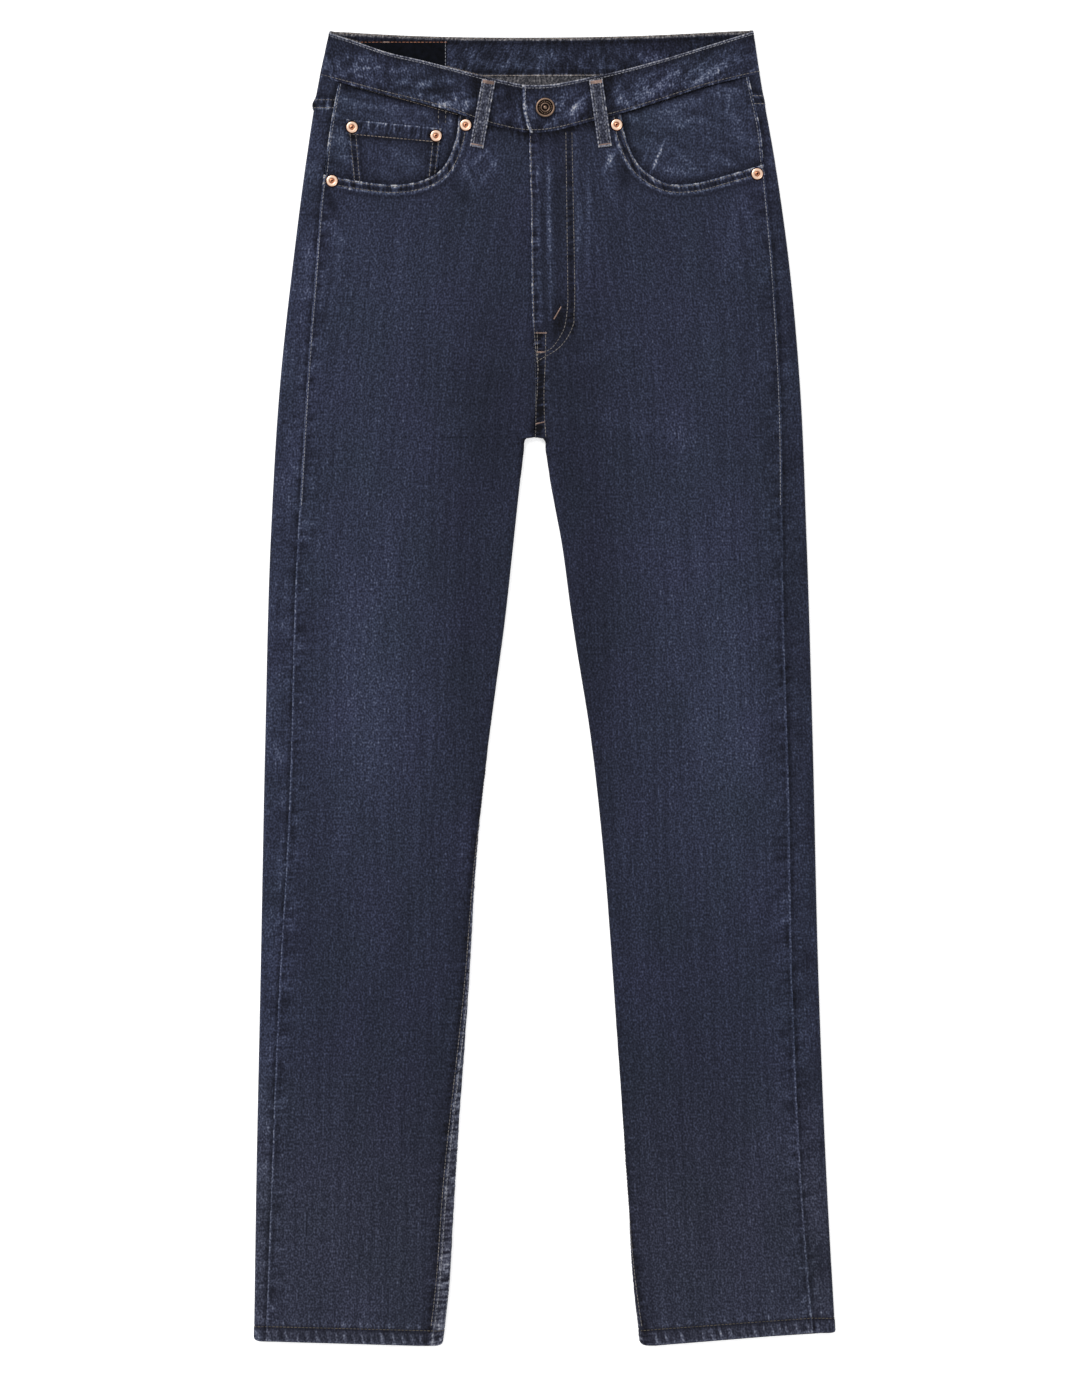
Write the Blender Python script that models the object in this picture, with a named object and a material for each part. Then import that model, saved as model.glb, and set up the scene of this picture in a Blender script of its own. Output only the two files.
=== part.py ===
"""Straight leg jeans laid flat on their back, built from the pieces that a maker cuts and sews.

The garment lies on the plane z = 0 with its front up: +Y points to the waist, +Z out of the front,
and the wearer's right side is at -X. Each leg, and the half of the seat above it, is a flattened tube
whose section is two straight runs joined by round folds, so every panel is a strip of that section
between two seams. The tables are in millimetres, and everything else is in metres.
"""

import math

import bmesh
import bpy
import numpy as np
from mathutils import Vector

MM = 0.001

# Cloth, and the room between two pieces
CLOTH = 1.2 * MM
DOUBLE = 2.4 * MM  # the waistband and the turned-up hems are two layers
LABEL = 1.0 * MM
SEAM = 0.3 * MM
LAYER = 1.6 * MM  # a cloth and the room below it, for cloths that lie on each other

# Height of the front's outer side above the surface that the garment lies on
SEAT_HEIGHT = 7.9 * MM  # pockets and fly lie between the panels here
LEG_HEIGHT = 7.2 * MM  # at the folds
THIN_FROM, THIN_TO = 260 * MM, -250 * MM  # where one goes over into the other
LEG_SAG = 1.9 * MM  # how far the front of a leg settles between its folds
SAG_FROM, SAG_TO = 260 * MM, 120 * MM
HEM_SAG = 0.6  # share of the sag that is left at the hem
HEM_SAG_LENGTH = 80 * MM

CROTCH_Y = 206.6 * MM
NOTCH_DEPTH = 10.6 * MM  # of the round top of the gap between the legs
NOTCH_POWER = 4  # how square its corners are; 2 would be an ellipse
ROLL_LENGTH = 45 * MM  # above the crotch, where the panels turn down towards the fork
ROLL_ROOM = 4 * MM  # flat cloth beside the turn that the close columns still follow
HEM_Y = -536 * MM
HEM_HEIGHT = 12 * MM
HEM_STEP = 1.5 * MM  # in which the cloth grows to two layers
SLANT_FROM = -380 * MM  # below it the rows lean over to the hem's slant

# The back pockets and the back belt loops lift the seat that lies on them
SEAT_LIFT = LAYER
LIFT_RAMP = 14 * MM
LIFT_FROM, LIFT_TO = 236 * MM, 276 * MM

FLY_END = 286 * MM  # the flap of the fly is free above this height
FLY_RAMP = 20 * MM
FLY_RISE = 0.8 * MM  # and stands this much proud of the front
FLY_WIDTH = 34 * MM
FLY_SLOPE = 10 * MM
FLY_DIP = 1.0 * MM  # how far the right front's edge sinks below the flap
DIP_FROM, DIP_TO = 4 * MM, 0.5 * MM  # from the centre seam
FLY_UNDERLAP = 9 * MM
FLY_LEVEL = 474 * MM  # where the band's left end is measured
BAND_LEVEL = 520 * MM  # where the band's fold and reach are measured
BAND_UNDERLAP = 34 * MM
BAND_RISE = 0.8 * MM  # the front of the waistband stands proud too
BAND_DIP_FROM, BAND_DIP_TO = 24 * MM, 9 * MM  # its right end sinks below the left one
BAND_END = (-6 * MM, 0.6 * MM)  # lean of the left end, at the top edge and at the seam
BAND_END_SLOPE = 14 * MM
BAND_END_BEND = 3  # the left end runs straight down at first and leans near the seam
WAIST_GAP = 0.5 * MM
WAIST_LEVEL = 500 * MM  # where the yoke's columns are measured

FACING_OVERLAP = 12 * MM
FACING_SLOPE_TO, FACING_SLOPE_FROM = 0.5 * MM, 14 * MM  # from the outseam, where it is level with the front
OPENING_FROM, OPENING_TO = 8 * MM, 22 * MM  # above the pocket's edge, where it comes up beside the outseam
FACING_GAP = 3 * SEAM
FACING_TOP_LEVEL, FACING_FOOT_LEVEL = 500 * MM, 410 * MM
FACING_DROP = {"right": 2 * LAYER + 0.1 * MM, "left": LAYER}
COIN_RISE = LAYER + 0.15 * MM  # of the coin pocket's upper side above the facing's

LOOP_WIDTH, LOOP_LENGTH = 11.2 * MM, 56 * MM
LOOP_BOW = 0.8 * MM
LOOP_BOW_SHARE = 0.8  # of its length
LOOP_STEP_FROM, LOOP_STEP_TO = 8 * MM, 2.5 * MM  # below the waist seam
RIVET_RADIUS, RIVET_HEIGHT = 4.8 * MM, 1.1 * MM
BUTTON_RADIUS, BUTTON_HEIGHT = 8.0 * MM, 3.4 * MM
ZIP_WIDTH, ZIP_THICKNESS = 13 * MM, 1.0 * MM
ZIP_ASIDE = 1.2 * MM  # from the right front's edge
ZIP_TOP_GAP, ZIP_FOOT_GAP = 2 * MM, 28 * MM  # below the waist seam, and above the flap's end
ZIP_LEVEL = 370 * MM


class Table:
    """A short table of sizes in millimetres, read in metres along a smooth curve."""

    def __init__(self, columns, rows):
        names = columns.split()
        values = np.array(sorted(rows), float) * MM
        self.along = values[:, 0]
        self.columns = dict(zip(names[1:], values[:, 1:].T))

    def at(self, place, column):
        """The column's value at that place: a cubic through the rows, level past the ends."""
        x, y = self.along, self.columns[column]
        slopes = np.gradient(y, x)
        place = min(max(place, x[0]), x[-1])
        i = min(int(np.searchsorted(x, place, "right")) - 1, len(x) - 2)
        width, rise = x[i + 1] - x[i], y[i + 1] - y[i]
        t = (place - x[i]) / width
        early, late = slopes[i] * width - rise, slopes[i + 1] * width - rise
        return float(y[i] + t * rise + t * (1 - t) * ((1 - t) * early - t * late))


# The outer folds of the garment
OUTER = Table(
    "y right left",
    [
        (541, -176.8, 171.0),
        (501, -185.3, 176.9),
        (434, -196.0, 188.6),
        (352, -206.6, 200.1),
        (253, -217.3, 209.1),
        (123, -225.2, 214.8),
        (-41, -229.7, 219.8),
        (-238, -233.6, 224.6),
        (-402, -237.0, 231.2),
        (-540, -239.0, 239.0),
    ],
)

# The centre seam and the fly's edge, down to the crotch
CENTRE = Table(
    "y seam",
    [(540, -10.5), (456, -13.1), (400, -11.7), (298, -10.1), (255, -7.6), (206.6, -8.6)],
)

# The inner folds of the legs
INNER = Table(
    "y right left",
    [
        (196, -17.2, 0.4),
        (155, -22.1, 6.8),
        (123, -25.4, 13.0),
        (57, -32.8, 22.1),
        (-41, -45.9, 37.7),
        (-140, -56.6, 48.4),
        (-238, -62.3, 55.8),
        (-402, -73.8, 67.2),
        (-500, -79.5, 73.8),
        (-540, -83.8, 78.2),
    ],
)

# How far the outseam lies inside the outer fold, on the front
OUTSEAM = Table(
    "y right left",
    [
        (500, 16.5, 9.2),
        (463, 15.6, 7.4),
        (411, 16.4, 10.8),
        (323, 20.0, 14.4),
        (212, 22.6, 17.3),
        (73, 21.6, 20.8),
        (-105, 20.6, 20.6),
        (-253, 15.2, 21.6),
        (-405, 12.4, 20.8),
        (-540, 9.6, 18.0),
    ],
)

# How far round the inner fold the inseam lies: more than 0 is on the front, less is underneath
INSEAM = Table(
    "y right left",
    [
        (206, 0.0, 0.0),
        (170, -6.0, -8.0),
        (0, -5.0, -8.0),
        (-125, 1.0, -7.0),
        (-255, 4.5, -5.0),
        (-405, 10.0, -1.0),
        (-540, 12.5, 4.5),
    ],
)

# The waistband's top edge and its seam, on the front and on the back
WAIST_FRONT = Table(
    "x top seam",
    [
        (-184, 540.5, 501.6),
        (-157, 531.6, 494.5),
        (-130, 522.3, 487.4),
        (-100, 515.3, 480.2),
        (-80, 510.2, 474.8),
        (-40, 500.2, 461.0),
        (-10, 495.2, 456.0),
        (40, 502.3, 466.0),
        (90, 514.5, 480.6),
        (130, 526.5, 493.6),
        (176, 541.0, 504.6),
    ],
)
WAIST_BACK = Table(
    "x top seam",
    [
        (-184, 540.5, 501.6),
        (-119, 536.6, 502.6),
        (0, 534.8, 503.0),
        (71, 536.0, 503.4),
        (176, 541.0, 504.6),
    ],
)

# The edge of each front pocket, from the outseam to the waistband
POCKET_EDGE = {
    "right": [
        (-182, 422),
        (-153, 416.6),
        (-123, 413.6),
        (-97.6, 418.2),
        (-82, 430),
        (-73, 452),
        (-70.5, 473),
    ],
    "left": [
        (185, 432),
        (154, 422.8),
        (122, 414.6),
        (98, 415.4),
        (77, 429.6),
        (66, 453),
        (62.3, 474),
    ],
}
POCKET_TOP_ROOM = 4 * WAIST_GAP  # between its last point and the waist seam
POCKET_TOP_STEP = 2 * MM

# Height of the back yoke's lower seam, at the outer fold and at the centre back
YOKE_SIDE_Y = {"right": 480.5 * MM, "left": 484.5 * MM}
YOKE_CENTRE_Y = 446 * MM
YOKE_FALL = (-0.4, 1.2)  # shares of the way across where the seam would begin and end its fall

# How far each hem lies above HEM_Y, at the outer fold and at the inner one
HEM_SLANT = {"right": (0.6 * MM, -3.0 * MM), "left": (7.6 * MM, -2.8 * MM)}

# Corners of the coin pocket, outer one first
COIN_TOP = ((-163, 467.6), (-84, 460.0))
COIN_FOOT = ((-157, 408), (-91, 404))

LABEL_CORNERS = [(-151, 506), (-81, 506), (-81, 531), (-151, 531.5)]

RIVETS = {
    "rivet_coin_outer": (-158.3, 460.8),
    "rivet_coin_inner": (-89.4, 453.8),
    "rivet_pocket_right_waist": (-65.0, 462.4),
    "rivet_pocket_right_side": (-174.6, 416.6),
    "rivet_pocket_left_waist": (58.8, 462.6),
    "rivet_pocket_left_side": (174.0, 422.4),
}
BUTTON_AT = (0.2, 476.4)

# Top and foot of each front belt loop, and the middle of each back one
FRONT_LOOPS = {
    "belt_loop_front_right": ((-46.0, 499.4), (-56.2, 444.2)),
    "belt_loop_front_left": ((41.6, 499.6), (49.2, 444.6)),
}
BACK_LOOPS = {"belt_loop_back_right": -96, "belt_loop_back_centre": -3, "belt_loop_back_left": 90}

# The top centre of each back pocket, and its outline: half its width at each depth
BACK_POCKET_AT = {"right": (-94, 438), "left": (86, 438)}
BACK_POCKET_OUTLINE = [(0, 66), (118, 56), (146, 0)]

# name: sRGB colour, roughness, metallic
FINISHES = {
    "denim": ((0.15, 0.17, 0.27), 0.9, 0.0),
    "denim_facing": ((0.17, 0.19, 0.29), 0.9, 0.0),
    "label": ((0.06, 0.06, 0.09), 0.7, 0.0),
    "copper": ((0.75, 0.50, 0.38), 0.35, 1.0),
    "antique_brass": ((0.36, 0.26, 0.22), 0.4, 1.0),
    "zip": ((0.12, 0.13, 0.18), 0.6, 0.0),
}


def ramp(value, start, end):
    """0 before start, 1 past end, and smooth between. start may be the larger."""
    t = min(max((value - start) / (end - start), 0.0), 1.0)
    return t * t * (3 - 2 * t)


def mix(a, b, share):
    return a + (b - a) * share


def spread(start, end, count):
    """count even steps from start to end, with both ends."""
    return [mix(start, end, i / count) for i in range(count + 1)]


def smooth_curve(points):
    """Close points, in metres, along a smooth curve through these ones."""
    ends = np.array(points, float) * MM
    padded = np.vstack([2 * ends[0] - ends[1], ends, 2 * ends[-1] - ends[-2]])
    close = []
    for a, b, c, d in zip(padded, padded[1:], padded[2:], padded[3:]):
        for t in np.arange(0, 1, 0.05):
            bend = (2 * a - 5 * b + 4 * c - d) * t**2 + (3 * b - a - 3 * c + d) * t**3
            close.append(b + ((c - a) * t + bend) / 2)
    return np.array([*close, ends[-1]])


def waist_y(x, on_front, column):
    return (WAIST_FRONT if on_front else WAIST_BACK).at(x, column)


class Half:
    """One leg and the half of the seat above it, as the outer side of a flattened tube along Y.

    A place is (q, y) on a face: q is the distance round the tube from the outer fold towards the
    inner one, on the front (face 1) or on the back (face -1). A q below 0, or past a leg's inner
    fold, comes out on the other face.
    """

    def __init__(self, name):
        self.name = name
        self.sign = -1 if name == "right" else 1

    def outer(self, y):
        return OUTER.at(y, self.name)

    def inner(self, y):
        """The centre seam above the crotch, then the round top of the gap, then the inner fold."""
        if y >= CROTCH_Y:
            return CENTRE.at(y, "seam") + self.sign * SEAM / 2
        if y < CROTCH_Y - NOTCH_DEPTH:
            return INNER.at(y, self.name)
        depth = (y - CROTCH_Y + NOTCH_DEPTH) / NOTCH_DEPTH
        top = CENTRE.at(CROTCH_Y, "seam") + self.sign * SEAM / 2
        opened = (1 - depth**NOTCH_POWER) ** (1 / NOTCH_POWER)
        return mix(top, INNER.at(CROTCH_Y - NOTCH_DEPTH, self.name), opened)

    def height(self, y):
        return mix(LEG_HEIGHT, SEAT_HEIGHT, ramp(y, THIN_TO, THIN_FROM))

    def radius(self, y):
        return self.height(y) / 2

    def roll(self, y):
        """Angle by which the cloth has turned down where it ends at the inner seam."""
        return math.pi / 2 * (1 - ramp(y, CROTCH_Y, CROTCH_Y + ROLL_LENGTH))

    def fold(self, y):
        """Distance from the middle of the outer fold to where the cloth runs flat."""
        return math.pi / 2 * self.radius(y)

    def reach(self, y):
        """Distance from the outer fold to the inner one."""
        r, roll = self.radius(y), self.roll(y)
        return self.fold(y) + abs(self.inner(y) - self.outer(y)) - r - r * math.sin(roll) + r * roll

    def outseam(self, y):
        return self.fold(y) + OUTSEAM.at(y, self.name) - self.radius(y)

    def outseam_x(self, y):
        return self.outer(y) - self.sign * OUTSEAM.at(y, self.name)

    def inseam(self, y):
        return INSEAM.at(y, self.name) if y < CROTCH_Y else 0.0

    def place(self, q, y, face=1, depth=0.0):
        """The point there, depth inside the tube's outer side."""
        reach, fold = self.reach(y), self.fold(y)
        r, roll = self.radius(y), self.roll(y)
        if q < 0:
            q, face = -q, -face
        if q > reach and y < CROTCH_Y:
            q, face = 2 * reach - q, -face
        past = max(0.0, q - reach)
        q -= past
        if q < fold:
            across, up = r - (r - depth) * math.cos(q / r), (r - depth) * math.sin(q / r)
        elif q <= reach - r * roll:
            across, up = q - fold + r, r - depth
        else:
            turn = roll - (reach - q) / r
            across = reach - r * roll - fold + r + (r - depth) * math.sin(turn)
            up = (r - depth) * math.cos(turn)
        point = Vector((self.outer(y) - self.sign * (across + past), y, r + face * up))
        flat = ramp(q, fold, fold + LIFT_RAMP)
        if face > 0:
            left_over = mix(1, HEM_SAG, ramp(y, HEM_Y + HEM_SAG_LENGTH, HEM_Y))
            sag = LEG_SAG * left_over * ramp(y, SAG_FROM, SAG_TO)
            point.z -= sag * flat * ramp(reach - q, r * roll, r * roll + LIFT_RAMP)
        else:
            point.z += SEAT_LIFT * flat * ramp(y, LIFT_FROM, LIFT_TO)
        return point

    def q_at(self, x, y):
        """The distance round the tube at which the front's flat run is at x."""
        return abs(x - self.outer(y)) - self.radius(y) + self.fold(y)

    def waist(self, q, face, column):
        """Height of the waistband's top edge or seam at that distance."""
        y = WAIST_BACK.at(0.0, column)
        for _ in range(5):
            point = self.place(q, y, face)
            y = waist_y(point.x, point.z > self.radius(y), column)
        return y


HALVES = {name: Half(name) for name in ("right", "left")}


def material(name):
    found = bpy.data.materials.get(name)
    if found:
        return found
    colour, roughness, metallic = FINISHES[name]
    made = bpy.data.materials.new(name)
    made.use_nodes = True
    shader = made.node_tree.nodes["Principled BSDF"]
    linear = [((c + 0.055) / 1.055) ** 2.4 for c in colour]
    shader.inputs["Base Color"].default_value = (*linear, 1)
    shader.inputs["Roughness"].default_value = roughness
    shader.inputs["Metallic"].default_value = metallic
    return made


def clear_scene():
    for obj in list(bpy.data.objects):
        bpy.data.objects.remove(obj)


def add_object(name, build, finish):
    """A named object from a bmesh, with its faces pointing out."""
    bmesh.ops.recalc_face_normals(build, faces=build.faces)
    mesh = bpy.data.meshes.new(name)
    build.to_mesh(mesh)
    build.free()
    mesh.materials.append(material(finish))
    obj = bpy.data.objects.new(name, mesh)
    bpy.context.scene.collection.objects.link(obj)
    return obj


def cloth(name, rows, finish="denim"):
    """A wall of cloth from rows of (outer point, inner point) pairs."""
    build = bmesh.new()
    skins = [[[build.verts.new(pair[side]) for pair in row] for row in rows] for side in (0, 1)]
    for grid in skins:
        for above, below in zip(grid, grid[1:]):
            for a, b, c, d in zip(above, above[1:], below[1:], below):
                build.faces.new((a, b, c, d))
    outer, inner = skins
    rims = [
        (outer[0], inner[0]),
        (outer[-1], inner[-1]),
        ([row[0] for row in outer], [row[0] for row in inner]),
        ([row[-1] for row in outer], [row[-1] for row in inner]),
    ]
    for one, other in rims:
        for a, b, c, d in zip(one, one[1:], other[1:], other):
            build.faces.new((a, b, c, d))
    return add_object(name, build, finish)


def level_pair(x, y, top, thickness=CLOTH):
    """A pair for a wall that lies level with its outer side at top."""
    return Vector((x, y, top)), Vector((x, y, top - thickness))


def flat_piece(name, outline, top, thickness=CLOTH, finish="denim"):
    """A level piece with this outline and its upper side at top."""
    build = bmesh.new()
    face = build.faces.new([build.verts.new((x, y, top)) for x, y in outline])
    lowered = bmesh.ops.extrude_face_region(build, geom=[face])["geom"]
    moved = [v for v in lowered if isinstance(v, bmesh.types.BMVert)]
    bmesh.ops.translate(build, vec=(0, 0, -thickness), verts=moved)
    return add_object(name, build, finish)


# Rows of the panels, from the seat down. Each row ends in columns that follow the inner edge closely.
SEAT_ROWS = [y * MM for y in (372, 330, 306, 296, 286, 276, 266)]
FORK_ROWS = [CROTCH_Y + d * MM for d in (44, 30, 18, 8, 0, -1.2, -4.5)]
LEG_ROWS = [y * MM for y in (196, 182, 160, 124, 70, 0, -80, -165, -250, -335, -415, -480)]
HEM_ROWS = [HEM_Y + HEM_HEIGHT + HEM_STEP, HEM_Y + HEM_HEIGHT, HEM_Y]
LOWER_ROWS = SEAT_ROWS + FORK_ROWS + LEG_ROWS + HEM_ROWS
EDGE_STEPS = 6
EDGE_WIDTH = 10 * MM

# Rows and columns of the front panel's top
FRONT_TOP = 465 * MM  # where its columns are measured
FRONT_TOP_ROWS, WAIST_STEPS = 4, 5
POCKET_STRIDE = 12  # close points of the pocket's edge to a column


def edge_start(half, y, end):
    """Where the columns that follow the inner edge begin."""
    return end - max(EDGE_WIDTH, end - half.reach(y) + half.radius(y) * half.roll(y) + ROLL_ROOM)


def wall_at(y):
    """Thickness of a panel's row that was laid out at this height."""
    return DOUBLE if y < HEM_Y + HEM_HEIGHT + HEM_STEP / 2 else CLOTH


def slanted(half, y, share):
    """The height of a row where it has crossed this share of the leg, from its outer fold."""
    return y + mix(*HEM_SLANT[half.name], share) * ramp(y, SLANT_FROM, HEM_Y)


def fly_lift(half, q, y):
    """The left front rises along the fly, and the right front sinks under it."""
    above = ramp(y, FLY_END - FLY_RAMP, FLY_END)
    if half.name == "left":
        return FLY_RISE * above * ramp(half.reach(y) - q, FLY_WIDTH + FLY_SLOPE, FLY_WIDTH)
    return -FLY_DIP * above * ramp(half.reach(y) - q, DIP_FROM, DIP_TO)


def front_end(half, y):
    lap = FLY_UNDERLAP * ramp(y, FLY_END, FLY_END + FLY_RAMP) if half.name == "right" else 0.0
    return half.reach(y) - half.inseam(y) - SEAM / 2 + lap


def front_start(half, y):
    return half.outseam(y) + SEAM / 2


def front_q(half, y, column, shares):
    """Distance of a front panel's column: a share of the run, or a step in the inner edge."""
    end = front_end(half, y)
    turn = edge_start(half, y, end)
    if column < len(shares):
        return mix(front_start(half, y), turn, shares[column])
    return mix(turn, end, (column - len(shares) + 1) / EDGE_STEPS)


def front_panel(half):
    """A front leg, from the waist seam and the pocket's edge to the hem."""
    pocket = smooth_curve(POCKET_EDGE[half.name])
    pocket = [p for p in pocket[::POCKET_STRIDE] if p[1] < waist_y(p[0], True, "seam") - POCKET_TOP_ROOM]
    turn = half.place(edge_start(half, FRONT_TOP, front_end(half, FRONT_TOP)), FRONT_TOP).x
    waist = spread(pocket[-1][0] - half.sign * POCKET_TOP_STEP, turn, WAIST_STEPS)
    tops = [(x, y) for x, y in pocket] + [(x, waist_y(x, True, "seam") - WAIST_GAP) for x in waist]
    shares = []
    for x, y in tops:
        begin = front_start(half, y)
        share = (half.q_at(x, y) - begin) / (edge_start(half, y, front_end(half, y)) - begin)
        shares.append(min(max(share, 0.0), 1.0))
    shares[0], shares[-1] = 0.0, 1.0
    heights = [y for _, y in tops]
    for column in range(len(shares), len(shares) + EDGE_STEPS):
        q = front_q(half, FRONT_TOP, column, shares)
        heights.append(half.waist(q, 1, "seam") - WAIST_GAP)

    def pair(y, column, thickness=CLOTH):
        q = front_q(half, y, column, shares)
        points = half.place(q, y), half.place(q, y, 1, thickness)
        for point in points:
            point.z += fly_lift(half, q, y)
        return points

    columns = range(len(heights))
    rows = []
    for down in spread(0, 1, FRONT_TOP_ROWS)[:-1]:
        rows.append([pair(mix(heights[c], SEAT_ROWS[0], down), c) for c in columns])
    for y in LOWER_ROWS:
        across = [shares[c] if c < len(shares) else 1.0 for c in columns]
        rows.append([pair(slanted(half, y, across[c]), c, wall_at(y)) for c in columns])
    return cloth(f"front_{half.name}", rows)


# Rows and columns of the back panel and of the yoke
BACK_TOP_ROWS, YOKE_ROWS = 5, 3
OUTSEAM_STEPS, FOLD_STEPS, RUN_STEPS = 2, 4, 6
FOLD_COLUMN = OUTSEAM_STEPS + FOLD_STEPS  # where the back begins to run flat
BACK_COLUMNS = FOLD_COLUMN + 2 + RUN_STEPS + EDGE_STEPS


def back_q(half, y, column):
    """Distance of a back panel's or yoke's column, from the outseam round the outer fold."""
    fold, end = half.fold(y), half.reach(y) + half.inseam(y) - SEAM / 2
    turn = edge_start(half, y, end)
    if column <= OUTSEAM_STEPS:
        return mix(SEAM / 2 - half.outseam(y), -fold, column / OUTSEAM_STEPS)
    if column <= FOLD_COLUMN:
        return mix(-fold, fold, (column - OUTSEAM_STEPS) / FOLD_STEPS)
    if column <= FOLD_COLUMN + 1 + RUN_STEPS:
        return mix(fold + LIFT_RAMP, turn, (column - FOLD_COLUMN - 1) / RUN_STEPS)
    return mix(turn, end, (column - FOLD_COLUMN - 1 - RUN_STEPS) / EDGE_STEPS)


def back_share(column):
    """How far a back column has crossed the half, from the outer fold to the inner edge."""
    return min(max((column - FOLD_COLUMN) / (RUN_STEPS + 1), 0.0), 1.0)


def back_pair(half, y, column, thickness=CLOTH):
    q = back_q(half, y, column)
    return half.place(q, y, -1), half.place(q, y, -1, thickness)


def yoke_y(half, column):
    """Height of the yoke's lower seam: level round the side, then falling to the centre back."""
    return mix(YOKE_SIDE_Y[half.name], YOKE_CENTRE_Y, ramp(back_share(column), *YOKE_FALL))


def back_panel(half):
    """A back leg, from the yoke to the hem. It comes round the outer fold to the outseam."""
    columns = range(BACK_COLUMNS)
    tops = [yoke_y(half, c) - SEAM for c in columns]
    rows = []
    for down in spread(0, 1, BACK_TOP_ROWS)[:-1]:
        rows.append([back_pair(half, mix(tops[c], SEAT_ROWS[0], down), c) for c in columns])
    for y in LOWER_ROWS:
        rows.append([back_pair(half, slanted(half, y, back_share(c)), c, wall_at(y)) for c in columns])
    return cloth(f"back_{half.name}", rows)


def yoke(half):
    """The piece between the waistband and the back panel."""
    columns = range(BACK_COLUMNS)
    tops = [half.waist(back_q(half, WAIST_LEVEL, c), -1, "seam") - WAIST_GAP for c in columns]
    rows = []
    for down in spread(0, 1, YOKE_ROWS):
        rows.append([back_pair(half, mix(tops[c], yoke_y(half, c), down), c) for c in columns])
    return cloth(f"yoke_{half.name}", rows)


# Columns of the waistband along each front, round each fold and along each half of the back
FRONT_STEPS, TURN_STEPS, BACK_STEPS = 17, 6, 11


def waistband():
    """One doubled strip all round, its left end over its right end at the fly."""
    fly_x = CENTRE.at(FLY_LEVEL, "seam")
    right, left = HALVES["right"], HALVES["left"]

    def front_pair(half, x, share):
        y = mix(waist_y(x, True, "top"), waist_y(x, True, "seam"), share)
        lift = BAND_RISE * ramp(abs(x - half.outer(y)), half.radius(y), half.radius(y) + LIFT_RAMP)
        if half.name == "right":
            lift -= (DOUBLE + SEAM - FLY_RISE) * ramp(x, fly_x - BAND_DIP_FROM, fly_x - BAND_DIP_TO)
            return level_pair(x, y, half.height(y) + lift, DOUBLE)
        lift += FLY_RISE * ramp(x, fly_x + FLY_WIDTH + FLY_SLOPE, fly_x + FLY_WIDTH)
        lean = mix(*BAND_END, share**BAND_END_BEND) * ramp(x, fly_x + BAND_END_SLOPE, fly_x)
        return level_pair(x + lean, y, half.height(y) + lift, DOUBLE)

    def ring_pair(half, q, share):
        y = mix(half.waist(q, -1, "top"), half.waist(q, -1, "seam"), share)
        return half.place(q, y, -1), half.place(q, y, -1, DOUBLE)

    fold = right.fold(BAND_LEVEL)
    side = {half.name: half.place(-fold, BAND_LEVEL, -1).x for half in HALVES.values()}
    reach = {half.name: half.reach(BAND_LEVEL) for half in HALVES.values()}
    stations = [("front", right, x) for x in spread(fly_x + BAND_UNDERLAP, side["right"], FRONT_STEPS)[:-1]]
    stations += [("ring", right, q) for q in spread(-fold, fold, TURN_STEPS)]
    stations += [("ring", right, q) for q in spread(fold + LIFT_RAMP, reach["right"], BACK_STEPS)]
    stations += [("ring", left, q) for q in spread(fold + LIFT_RAMP, reach["left"], BACK_STEPS)[::-1][1:]]
    stations += [("ring", left, q) for q in spread(fold, -fold, TURN_STEPS)]
    stations += [("front", left, x) for x in spread(side["left"], fly_x, FRONT_STEPS)[1:]]
    make = {"front": front_pair, "ring": ring_pair}
    rows = [[make[kind](half, at, share) for kind, half, at in stations] for share in (0, 0.5, 1)]
    return cloth("waistband", rows)


def front_belt_loop(name, top, foot):
    """A strip that lies on the waistband, bows a little and steps down to the panel below."""
    a, b = Vector(top) * MM, Vector(foot) * MM
    along = (b - a).normalized()
    across = Vector((-along.y, along.x)) * LOOP_WIDTH / 2
    rows = []
    for share in (0, 0.12, 0.3, 0.45, 0.6, 0.7, 0.8, 0.9, 1):
        middle = mix(a, b, share)
        seam = waist_y(middle.x, True, "seam")
        step = BAND_RISE * ramp(middle.y, seam - LOOP_STEP_FROM, seam - LOOP_STEP_TO)
        bow = LOOP_BOW * math.sin(math.pi * min(1.0, share / LOOP_BOW_SHARE))
        top_z = SEAT_HEIGHT + step + SEAM + CLOTH + bow
        rows.append([level_pair(*(middle + across * side), top_z) for side in (-1, 0, 1)])
    return cloth(name, rows)


def back_belt_loop(name, x):
    top = WAIST_BACK.at(x * MM, "top")
    left, right = x * MM - LOOP_WIDTH / 2, x * MM + LOOP_WIDTH / 2
    outline = [(left, top), (left, top - LOOP_LENGTH), (right, top - LOOP_LENGTH), (right, top)]
    return flat_piece(name, outline, CLOTH)


def back_pocket(half):
    centre, top = (v * MM for v in BACK_POCKET_AT[half.name])
    one = [(centre - width * MM, top - down * MM) for down, width in BACK_POCKET_OUTLINE]
    other = [(2 * centre - x, y) for x, y in one[-2::-1]]
    return flat_piece(f"back_pocket_{half.name}", one + other, CLOTH)


def pocket_edge_y(half, x):
    """Height of the front pocket's edge at x, level past its ends."""
    curve = smooth_curve(POCKET_EDGE[half.name])
    order = np.argsort(curve[:, 0])
    return float(np.interp(x, curve[order, 0], curve[order, 1]))


def facing_top(half, x, y):
    """Height of the facing's upper side: level with the front at the outseam, below it elsewhere."""
    beside = ramp(abs(x - half.outseam_x(y)), FACING_SLOPE_FROM, FACING_SLOPE_TO)
    opened = ramp(y - pocket_edge_y(half, x), OPENING_FROM, OPENING_TO)
    return half.height(y) - FACING_DROP[half.name] * (1 - beside * opened)


FACING_STEPS, FACING_ROWS = 14, 5
COIN_STEPS, COIN_ROWS = 5, 4


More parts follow.
